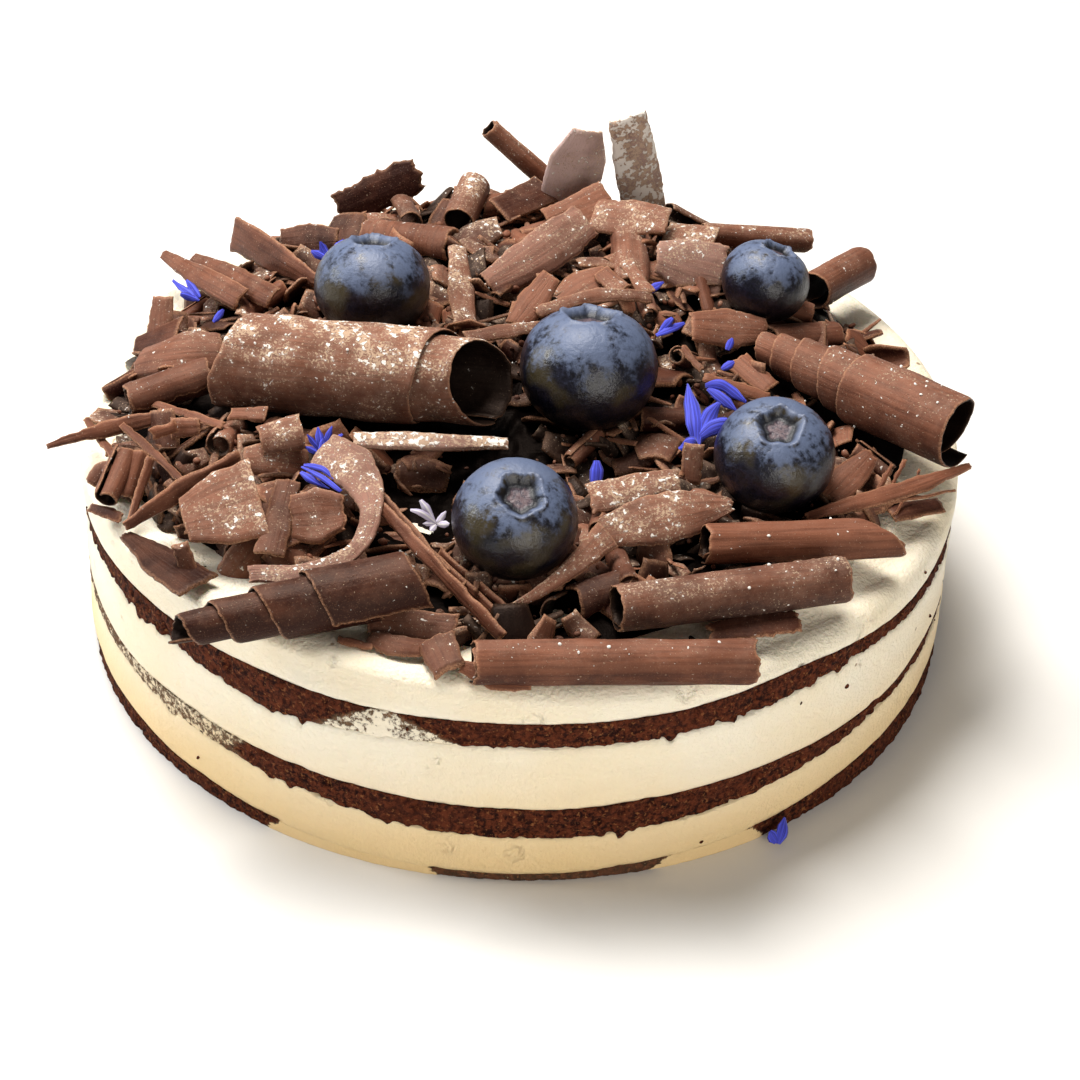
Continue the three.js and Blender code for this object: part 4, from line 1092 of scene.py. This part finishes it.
def roomForShavings(points):
    # 1 where a loose shaving may lie, 0 in and under what stands clear of the heap
    room = np.ones(len(points))
    for x, y, radius, _ in hollows:
        room *= smoothStep(0.55, 1.2, np.hypot(points[:, 0] - x, points[:, 1] - y) / radius)
    for berry in berries.values():
        away = np.linalg.norm(points - np.array(berry["centre"]), axis=1)
        room *= smoothStep(berry["radius"] - 0.5, berry["radius"] + 1.8, away)
    for roll in rolls.values():
        start, end = np.array(roll["start"], float), np.array(roll["end"], float)
        share = np.clip((points - start) @ (end - start) / np.sum((end - start) ** 2), 0, 1)
        away = np.linalg.norm((points - lerp(start, end, share[:, None]))[:, :2], axis=1)
        room *= smoothStep(0.7, 1.2, away / max(roll["radii"]))
    return room


def buildCore():
    angle = np.linspace(0, 2 * math.pi, core["around"], endpoint=False)
    share = np.linspace(1, 0.02, core["rings"]) ** 0.8
    rings, turns = np.meshgrid(share, angle, indexing="ij")
    reach = (heapReach(turns) - core["inset"]) * rings
    x, y = reach * np.cos(turns), reach * np.sin(turns)
    bumps = core["bump"] * roughLumps(x, y, 0, core["bumpSize"], 63)
    bumps = bumps + core["fineBump"] * lumps(x, y, 0, core["fineSize"], 66)
    full = heapSurface(x, y) - core["sunk"] + bumps
    for hollowX, hollowY, radius, depth in hollows:
        full = full - depth * np.exp(-((x - hollowX) ** 2 + (y - hollowY) ** 2) / (0.8 * radius) ** 2)
    z = lerp(cake["creamHeight"] + core["foot"], full, smoothStep(1.0, 0.88, rings))
    underside = cake["creamHeight"] - core["foot"]
    foot = np.stack([x[0], y[0], 0 * x[0] + underside], -1)
    points = np.concatenate([[foot], np.stack([x, y, z], -1)]).reshape(-1, 3)
    quads, spots, after = ringFaces(core["rings"] + 1, core["around"])
    top, bottom = len(points), len(points) + 1
    points = np.concatenate([points, [[0, 0, points[spots[-1], 2].mean()]], [[0, 0, underside]]])
    faces = quads + fan(top, spots[-1], after[-1]) + fan(bottom, after[0], spots[0])
    values = {"dust": 0.0, "tone": core["tone"], "cling": 0.0, "edge": 0.0, "across": 0.0,
              "room": roomForShavings(points)}
    return points, faces, values, points[:, :2]


coreParts = buildCore()
makeSheetPiece("heap_core", [coreParts], nearBlackChocolate, ["shavings_heap"])

buriedLook = dict(grid=(22, 10), thickness=0.9, torn=0.8, dust=0.4, tone=0.0, ridge=0.12, warp=0.4)
# shavings that can be told apart in the heap, with their own look where it differs
buried = [
    dict(path=[(-10.5, 7, 54), (-13, 29, 59)], widths=(5, 6, 4), facing=(0.3, -0.6, 1), arc=60, dust=1.1),
    dict(path=[(-2, 8, 54.5), (5, 18, 60)], widths=(4, 7, 4), tone=0.5, dust=0.2),
    dict(path=[(-48, 44, 48.5), (-35.5, 36.5, 54.5)], widths=(7, 9, 5), facing=(0, -1, 0.7), tone=-0.6),
    dict(path=[(-64.5, 40, 48), (-46.5, 17.5, 53)], widths=(2, 6, 5), facing=(-0.4, -0.6, 1), arc=60),
    dict(path=[(-68, 11.5, 44), (-67, 18.5, 52.5)], widths=(6, 5), facing=(-0.5, -1, 0.2)),
    dict(path=[(-72.5, 14.5, 43.5), (-63, 9.5, 50.5)], widths=(4, 7), tone=-0.5, dust=0.1),
    dict(path=[(-77, -15, 47), (-69, -28, 46)], widths=(2, 2.4), dust=0.1),
    dict(path=[(-70, -20, 49.5), (-57, -36, 49)], widths=(2, 2.4), dust=0.1),
    dict(path=[(-65, -15, 50.5), (-51, -25, 53)], widths=(2.4, 2), dust=0.2, tone=0.3),
    dict(path=[(-61, -24, 51.5), (-55, -26, 53.5)], widths=(5, 3), facing=(0.3, -1, 0.8), tone=0.3),
    dict(path=[(-64, -27, 52), (-59, -25, 53)], widths=(2.5, 3), facing=(0, -1, 0.3), tone=0.9, dust=0.0),
    dict(path=[(-51, -22, 53.5), (-43.5, -23.5, 55)], widths=(3, 4), arc=50, tone=0.2),
    dict(path=[(-45, -30, 54), (-37, -28.5, 55.5)], widths=(7, 8), arc=110, facing=(0, -0.8, 1), dust=1.3,
         tone=0.3, cling=0.4),
    dict(path=[(-65.5, -29.5, 51), (-67.5, -37, 45.5)], widths=(5, 4), arc=150, tone=0.1, dust=0.1),
    dict(path=[(-63, -31.5, 51), (-65.5, -43, 44.8)], widths=(2.5, 2), facing=(0.4, -1, 0.4), dust=0.1),
    dict(path=[(-74, -32.5, 45), (-71.5, -31.5, 48), (-70, -33.5, 49.5)], widths=(3, 3.5, 3), arc=20),
    dict(path=[(-73.5, -37, 43.5), (-67, -41, 44.2)], widths=(2, 3), tone=-0.4, dust=0.1),
    dict(path=[(-56, -52.5, 48.5), (-54, -54.5, 43.2)], widths=(3.5, 4), facing=(0, -1, 0.3), dust=0.6,
         thickness=1.6),
    dict(path=[(-41, -39.5, 51), (-37, -51, 47)], widths=(8, 9), arc=70, tone=-0.3),
    dict(path=[(-39, -38.5, 52), (-41, -55, 48)], widths=(5, 6), arc=60, tone=-0.4),
    dict(path=[(-22, -45, 50), (1.5, -69, 43.5)], widths=(2.6, 2.2), facing=(-0.7, -0.6, 0.4), dust=0.2),
    dict(path=[(-13, -52, 48), (4, -68, 43.5)], widths=(2.2, 2), facing=(-0.7, -0.6, 0.4), dust=0.2),
    dict(path=[(-24, -41.5, 52.5), (-19, -48.5, 51), (-11, -58.5, 48)], widths=(2, 3, 2),
         facing=(-0.7, -0.6, 0.4)),
    dict(path=[(29.5, -28.5, 46), (30, -25, 53)], widths=(4, 4.5), facing=(0, -1, 0.4), dust=1.0),
    dict(path=[(-13, -71, 45), (-10, -78, 43.2)], widths=(7, 6), facing=(0, -1, 1), thickness=1.8, ridge=0.5,
         spacing=1.6, tone=-0.2),
    dict(path=[(-9, -76.3, 43.6), (-2, -78.8, 42.8), (3.5, -79, 42.1)], widths=(2, 5, 2),
         facing=(0, -0.8, 1), tone=0.5, dust=0.1),
    dict(path=[(-24, -69.4, 43.2), (-18, -72.6, 43.8), (-12, -71.8, 43.3)], widths=(3, 4.5, 3),
         facing=(0, -0.5, 1), arc=70, tone=-0.2, dust=0.5),
    dict(path=[(-28.8, -69.6, 42.5), (-22.6, -72, 42.9)], widths=(1.6, 2.4, 1.6), tone=0.3, dust=0.4),
    dict(path=[(9, -61, 46), (20.5, -56.5, 47.5)], widths=(10, 9), arc=190, tone=-0.7, dust=0.25, torn=2.0),
    dict(path=[(53, -31, 46), (61.5, -21.5, 49.5)], widths=(6, 7, 3), tone=0.3, dust=0.15),
    dict(path=[(64, -30, 42.8), (74, -27, 43.2)], widths=(6, 5), facing=(0, 0, 1), tone=-0.8, dust=0.05),
    dict(path=[(49, -36, 45.5), (76, -28, 46.5)], widths=(1.2, 1.2), tone=0.3, dust=0.0),
    dict(path=[(62.5, -31, 43), (67.5, -21, 48.5)], widths=(1.6, 1.4), tone=0.7, dust=0.0),
    dict(path=[(65, -31.5, 43), (70, -24, 48.5)], widths=(1.5, 1.3), tone=0.6, dust=0.0),
    dict(path=[(60, -31, 43), (65, -23, 48.5)], widths=(1.8, 1.4), tone=0.5, dust=0.0),
    dict(path=[(38.5, 5, 51), (45, -2.5, 49.5)], widths=(6, 5), tone=0.5, dust=0.15),
    dict(path=[(28, 4, 54), (32.5, -1.5, 52)], widths=(2.5, 2), tone=0.3),
    dict(path=[(32, -3, 52), (44.5, -6, 50)], widths=(2.6, 3), tone=0.6, dust=0.1),
    dict(path=[(60, 19.5, 48), (65.5, 20.5, 43.4)], widths=(3, 7, 2), facing=(0.3, -0.5, 1), tone=0.8,
         dust=0.05),
    dict(path=[(64.5, 18.5, 43.2), (72, 22.5, 42.4)], widths=(2.5, 3, 1.5), facing=(0, -0.3, 1), tone=0.9,
         dust=0.0),
    dict(path=[(-11, 2.5, 55), (4, 6.5, 56)], widths=(4, 3), dust=0.7),
    dict(path=[(2, 9.5, 56.5), (12, 14.5, 57.5), (23.5, 17.5, 56)], widths=(3, 4, 3), dust=0.6),
    dict(path=[(13.5, 24, 57.5), (18, 18, 56.5)], widths=(4, 5), tone=0.5, dust=0.6),
    dict(path=[(18.5, 27.5, 57.5), (22.5, 19, 55.5)], widths=(3, 4), tone=0.6, dust=0.7),
    dict(path=[(4, 40, 57), (16, 47, 60)], widths=(8, 9), facing=(0, -0.8, 1), tone=0.6, dust=0.4),
    dict(path=[(12, 43, 58.5), (27, 38, 60.5)], widths=(8, 9, 6), facing=(0.2, -0.6, 1), tone=0.4, dust=1.0),
    dict(path=[(26, 40, 57), (36, 36, 57.5)], widths=(6, 7), tone=0.4, dust=1.1),
    dict(path=[(-6, 46, 56.5), (4, 56, 57)], widths=(7, 8), facing=(-0.2, -0.8, 1), tone=-0.6, dust=0.2),
]

parts = []
for seed, shard in enumerate(buried):
    look = {**shardLook, **buriedLook, "seed": 150 + seed, **shard}
    parts.append(buildSheet(*shardSurface(look), look))
makeSheetPiece("heap_shards", parts, chocolate, ["shavings_heap"])
print("heap core and shards made")


# ---------- loose shavings, crumbs and grains ----------

def buildScatter():
    # lays the three shapes over a surface, each turned, tilted, sized and toned by chance
    tree = bpy.data.node_groups.new("scatter", "GeometryNodeTree")
    for way in ("INPUT", "OUTPUT"):
        tree.interface.new_socket("Geometry", in_out=way, socket_type="NodeSocketGeometry")
    sockets = {
        "Float": ["Spacing", "Density", "Smallest", "Largest", "Tilt", "Lowest", "Highest", "Dust", "Dark",
                  "Light"],
        "Int": ["Seed"], "Object": ["Shape A", "Shape B", "Shape C"], "Material": ["Material"]}
    for kind, keys in sockets.items():
        for key in keys:
            tree.interface.new_socket(key, in_out="INPUT", socket_type="NodeSocket" + kind)
    given = addNode(tree, "NodeGroupInput").outputs

    def chance(kind, low, high, shift):
        seed = plus(tree, given["Seed"], float(shift))
        node = addNode(tree, "FunctionNodeRandomValue", {"Seed": seed}, data_type=kind)
        limits = [s for s in node.inputs if s.enabled and s.name in ("Min", "Max")]
        for socket, value in zip(limits, (low, high)):
            if isinstance(value, bpy.types.NodeSocket):
                tree.links.new(value, socket)
            else:
                socket.default_value = value
        return next(s for s in node.outputs if s.enabled)

    def turnBy(rotation, angles):
        euler = addNode(tree, "ShaderNodeCombineXYZ", angles).outputs[0]
        turn = addNode(tree, "FunctionNodeEulerToRotation", {0: euler}).outputs[0]
        both = {0: rotation, 1: turn}
        return addNode(tree, "FunctionNodeRotateRotation", both, rotation_space="LOCAL").outputs[0]

    room = addNode(tree, "GeometryNodeInputNamedAttribute", {"Name": "room"}, data_type="FLOAT").outputs[0]
    spread = addNode(tree, "GeometryNodeDistributePointsOnFaces", {
        "Mesh": given["Geometry"], "Distance Min": given["Spacing"], "Density Max": given["Density"],
        "Density Factor": room, "Seed": given["Seed"]}, distribute_method="POISSON")
    shapes = addNode(tree, "GeometryNodeJoinGeometry")
    for key in ("Shape C", "Shape B", "Shape A"):
        shape = addNode(tree, "GeometryNodeObjectInfo", {"Object": given[key]}).outputs["Geometry"]
        shape = addNode(tree, "GeometryNodeGeometryToInstance", {0: shape}).outputs[0]
        tree.links.new(shape, shapes.inputs[0])
    lean = times(tree, given["Tilt"], -1.0)
    turned = turnBy(spread.outputs["Rotation"], {2: chance("FLOAT", 0.0, 2 * math.pi, 13)})
    turned = turnBy(turned, {k: chance("FLOAT", lean, given["Tilt"], 11 + k) for k in (0, 1)})
    placed = addNode(tree, "GeometryNodeInstanceOnPoints", {
        "Points": spread.outputs["Points"], "Instance": shapes.outputs[0], "Pick Instance": True,
        "Instance Index": chance("INT", 0, 2, 14), "Rotation": turned,
        "Scale": chance("FLOAT", given["Smallest"], given["Largest"], 15)}).outputs[0]
    rise = chance("FLOAT", given["Lowest"], given["Highest"], 16)
    rise = addNode(tree, "ShaderNodeCombineXYZ", {2: rise}).outputs[0]
    placed = addNode(tree, "GeometryNodeSetPosition", {"Geometry": placed, "Offset": rise}).outputs[0]
    # painted shade: most of the tone follows the height, so that what lies low is dark
    height, luck = [chance("FLOAT", given["Dark"], given["Light"], shift) for shift in (16, 17)]
    stored = {"tone": weighted(tree, (0.7, height), (0.3, luck))}
    stored["dust"] = chance("FLOAT", 0.0, given["Dust"], 18)
    for key, value in stored.items():
        inputs = {"Geometry": placed, "Name": key, "Value": value}
        placed = addNode(tree, "GeometryNodeStoreNamedAttribute", inputs,
                         domain="INSTANCE", data_type="FLOAT").outputs[0]
    real = addNode(tree, "GeometryNodeRealizeInstances", {"Geometry": placed}).outputs[0]
    painted = {"Geometry": real, "Material": given["Material"]}
    done = addNode(tree, "GeometryNodeSetMaterial", painted).outputs[0]
    addNode(tree, "NodeGroupOutput", {"Geometry": done})
    return tree


def looseShape(name, shape, step):
    # a small shaving about the origin, lying flat; the scattering gives it its tone and dust
    if "path" in shape:
        look = {**shardLook, **looseLook, "seed": 210 + step, **shape}
        surface = shardSurface(look)
    else:
        look = {**curlLook, **looseCurlLook, "seed": 230 + step, **shape}
        surface = rollSurface(look)
    points, faces, attributes, plan = buildSheet(*surface, look)
    del attributes["tone"], attributes["dust"]
    return addObject(name, makeMesh(name, points, faces, attributes, plan))


def pebbleShape(name, size, seed):
    # a rough crumb, from a cube's corners pushed about on a finer grid
    steps = np.linspace(-1, 1, 4)
    points, spots, faces = [], {}, []

    def spot(corner):
        key = tuple(np.round(corner, 3))
        if key not in spots:
            spots[key] = len(points)
            points.append(np.array(corner, float))
        return spots[key]

    for axis in range(3):
        for sign in (-1, 1):
            for a, nextA in zip(steps, steps[1:]):
                for b, nextB in zip(steps, steps[1:]):
                    ring = []
                    for s, t in ((a, b), (nextA, b), (nextA, nextB), (a, nextB)):
                        corner = [0, 0, 0]
                        corner[axis], corner[(axis + 1) % 3], corner[(axis + 2) % 3] = sign, s, t
                        ring.append(spot(corner))
                    faces.append(ring if sign > 0 else ring[::-1])
    points = unit(np.array(points)) * size / 2
    rough = 1 + 0.3 * lumps(*points.T, 0.55 * size, seed)
    return addObject(name, makeMesh(name, points * rough[:, None] * (1, 0.8, 0.65), faces))


def creamStrip(side, low, high):
    # a strip of the cream: round its side between two levels, or over its top between two radii
    count, turn = 12, np.linspace(0, 2 * math.pi, 240, endpoint=False)
    rings = []
    for across in np.linspace(low, high, count):
        radius, level = (cake["radius"] - 0.1, across) if side else (across, cake["creamHeight"])
        rings.append(np.stack([radius * np.cos(turn), radius * np.sin(turn), level + 0 * turn], -1))
    return addObject("strip", makeMesh("strip", rings, ringFaces(count, len(turn))[0], {"room": 1.0}))


def upperFaces(names):
    # the upward faces of finished pieces
    points, faces = [], []
    for name in names:
        mesh = bpy.data.objects[name + "_fine"].data
        level = np.mean([corner.co.z for corner in mesh.vertices])
        for face in mesh.polygons:
            if face.normal.z > 0.72 and face.center.z > level:
                faces.append(tuple(range(len(points), len(points) + len(face.vertices))))
                points += [[c / mm for c in mesh.vertices[spot].co] for spot in face.vertices]
    return addObject("tops", makeMesh("tops", points, faces, {"room": 1.0}))


def makeBed(bed):
    # what a kind of loose piece is scattered over
    if bed == "curls":
        return upperFaces(sugaredCurls)
    if bed == "side":
        return creamStrip(True, 2, 39)
    if bed == "rim":
        return creamStrip(False, 66, 76)
    return addObject("heap", joinedMesh("heap", [coreParts]))


def scatter(kind, look):
    if "size" in look:
        shapes = [pebbleShape(f"{kind}_{step}", look["size"], 300 + step) for step in range(3)]
    else:
        shapes = [looseShape(f"{kind}_{step}", shape, step) for step, shape in enumerate(look["shapes"])]
    bed = makeBed(look["bed"])
    modifier = bed.modifiers.new(kind, "NODES")
    modifier.node_group = scatterTree
    inputs = {key.capitalize(): value * mm if key in ("spacing", "lowest", "highest") else value
              for key, value in look.items()}
    inputs.update(zip(("Shape A", "Shape B", "Shape C"), shapes))
    for item in scatterTree.interface.items_tree:
        if item.in_out == "INPUT" and item.name in inputs:
            modifier[item.identifier] = inputs[item.name]
    bed.update_tag()
    bpy.context.view_layer.update()
    mesh = bpy.data.meshes.new_from_object(bed.evaluated_get(bpy.context.evaluated_depsgraph_get()))
    bed.modifiers.remove(modifier)
    for helper in (*shapes, bed):
        bpy.data.objects.remove(helper)
    mesh.name = kind
    mesh.polygons.foreach_set("use_smooth", np.ones(len(mesh.polygons), bool))
    print(kind, len(mesh.vertices), "points")
    makePiece(kind, mesh, look["material"], look["nodes"])


looseLook = dict(thickness=0.7, torn=0.5, arc=40, facing=(0, 0, 1))
looseCurlLook = dict(torn=0.5, seam=40)
grainLook = dict(dust=0.0, dark=0.0, light=0.0, tilt=3.0, bed="heap", slot=None, nodes=["shavings_heap"])
shavingLook = dict(bed="heap", material=chocolate, slot="shavings", nodes=["shavings_heap"])
sugaredCurls = ["curl_large", "cone_right", "roll_front", "roll_middle", "roll_right", "roll_back_tall"]
# sizes, spacings and heights in mm; density in pieces per square metre
scattered = {
    "loose_chips": dict(
        shapes=[
            dict(path=[(-3.5, 0, 0), (0, 0.3, 0.5), (3.5, 0, 0)], widths=(4, 5.5, 3.5), grid=(6, 4)),
            dict(path=[(-3, 0, 0.6), (0, 0, 0), (3.2, 0.5, 0.9)], widths=(3, 4.5, 4.5), grid=(6, 4), arc=80),
            dict(path=[(-4.2, 0, 0), (4, 0.6, 0.4)], widths=(2.5, 5, 3), grid=(6, 4), arc=20),
        ],
        spacing=3.0, density=120000.0, seed=3, smallest=0.6, largest=1.6, tilt=0.85, lowest=-0.4,
        highest=1.8, dust=1.1, dark=-4.0, light=1.4),
    "loose_splinters": dict(
        shapes=[
            dict(path=[(-6, 0, 0), (0, 0.6, 0.5), (6, 0, 0)], widths=(0.8, 1.6, 0.9), grid=(8, 2), torn=0.3),
            dict(path=[(-5, 0, 0), (5, 0.8, 0.6)], widths=(1.6, 2.2, 0.8), grid=(7, 2), torn=0.3),
            dict(path=[(-7, 0, 0.4), (0, 0, -0.2), (7, 0.5, 0.8)], widths=(1, 1.3, 0.7), grid=(8, 2),
                torn=0.2),
        ],
        spacing=5.5, density=60000.0, seed=8, smallest=0.6, largest=1.25, tilt=0.4, lowest=0.4, highest=2.8,
        dust=0.5, dark=-3.2, light=1.5),
    "loose_plates": dict(
        shapes=[
            dict(path=[(-5, 0, 0), (0, 0, 1.0), (5, 0.5, 0)], widths=(5, 7, 4), grid=(9, 6), arc=50),
            dict(path=[(-5.5, 0, 0), (5, 0, 1)], widths=(4, 7.5, 6), grid=(9, 6), arc=90),
            dict(path=[(-4, 0, 0), (4.5, 0.4, 0.5)], widths=(6, 7, 3), grid=(9, 6), arc=160),
        ],
        spacing=7.5, density=30000.0, seed=21, smallest=0.8, largest=1.5, tilt=0.6, lowest=0.2, highest=2.2,
        dust=1.0, dark=-3.6, light=1.4),
    "loose_curls": dict(
        shapes=[
            dict(start=(-5, 0, 1), end=(5, 0, 1), radii=(0.8, 1.6), turns=1.2, grid=(12, 16)),
            dict(start=(-4, 0, 1), end=(4.5, 0, 1), radii=(1.3, 2.2), turns=1.1, grid=(10, 16)),
            dict(start=(-5.5, 0, 1), end=(5.5, 0, 1), radii=(1.8, 2.2), turns=0.7, grid=(12, 12)),
        ],
        spacing=11, density=15000.0, seed=5, smallest=0.7, largest=1.15, tilt=0.3, lowest=0.6, highest=2.4,
        dust=0.9, dark=-1.6, light=0.9),
    "chocolate_crumbs": dict(size=1.5, spacing=2.0, density=60000.0, seed=31, smallest=0.4, largest=1.3,
        lowest=0.8, highest=3.0, dust=0.7, dark=-2.0, light=0.9, material=chocolate, slot="shavings"),
    "sugar_clumps": dict(size=0.5, spacing=3.0, density=9000.0, seed=37, smallest=0.5, largest=1.3,
        lowest=1.6, highest=3.4, material=sugarWhite),
    "sugar_on_curls": dict(size=0.55, spacing=1.6, density=36000.0, seed=41, smallest=0.4, largest=1.5,
        lowest=0.0, highest=0.1, bed="curls", material=sugarWhite, nodes=sugaredCurls),
    "side_crumbs": dict(size=1.0, spacing=6.0, density=1500.0, seed=43, smallest=0.3, largest=0.95,
        lowest=0.0, highest=0.0, dark=-1.0, bed="side", material=sponge, slot="sponge", nodes=[]),
    "top_crumbs": dict(size=1.2, spacing=4.0, density=3000.0, seed=47, smallest=0.3, largest=1.2, lowest=0.0,
        highest=0.2, dark=-1.0, bed="rim", material=nearBlackChocolate, slot="shavings"),
}

scatterTree = buildScatter()
for kind, look in scattered.items():
    scatter(kind, {**(grainLook if "size" in look else shavingLook), **look})
print("loose shavings, crumbs and grains scattered")
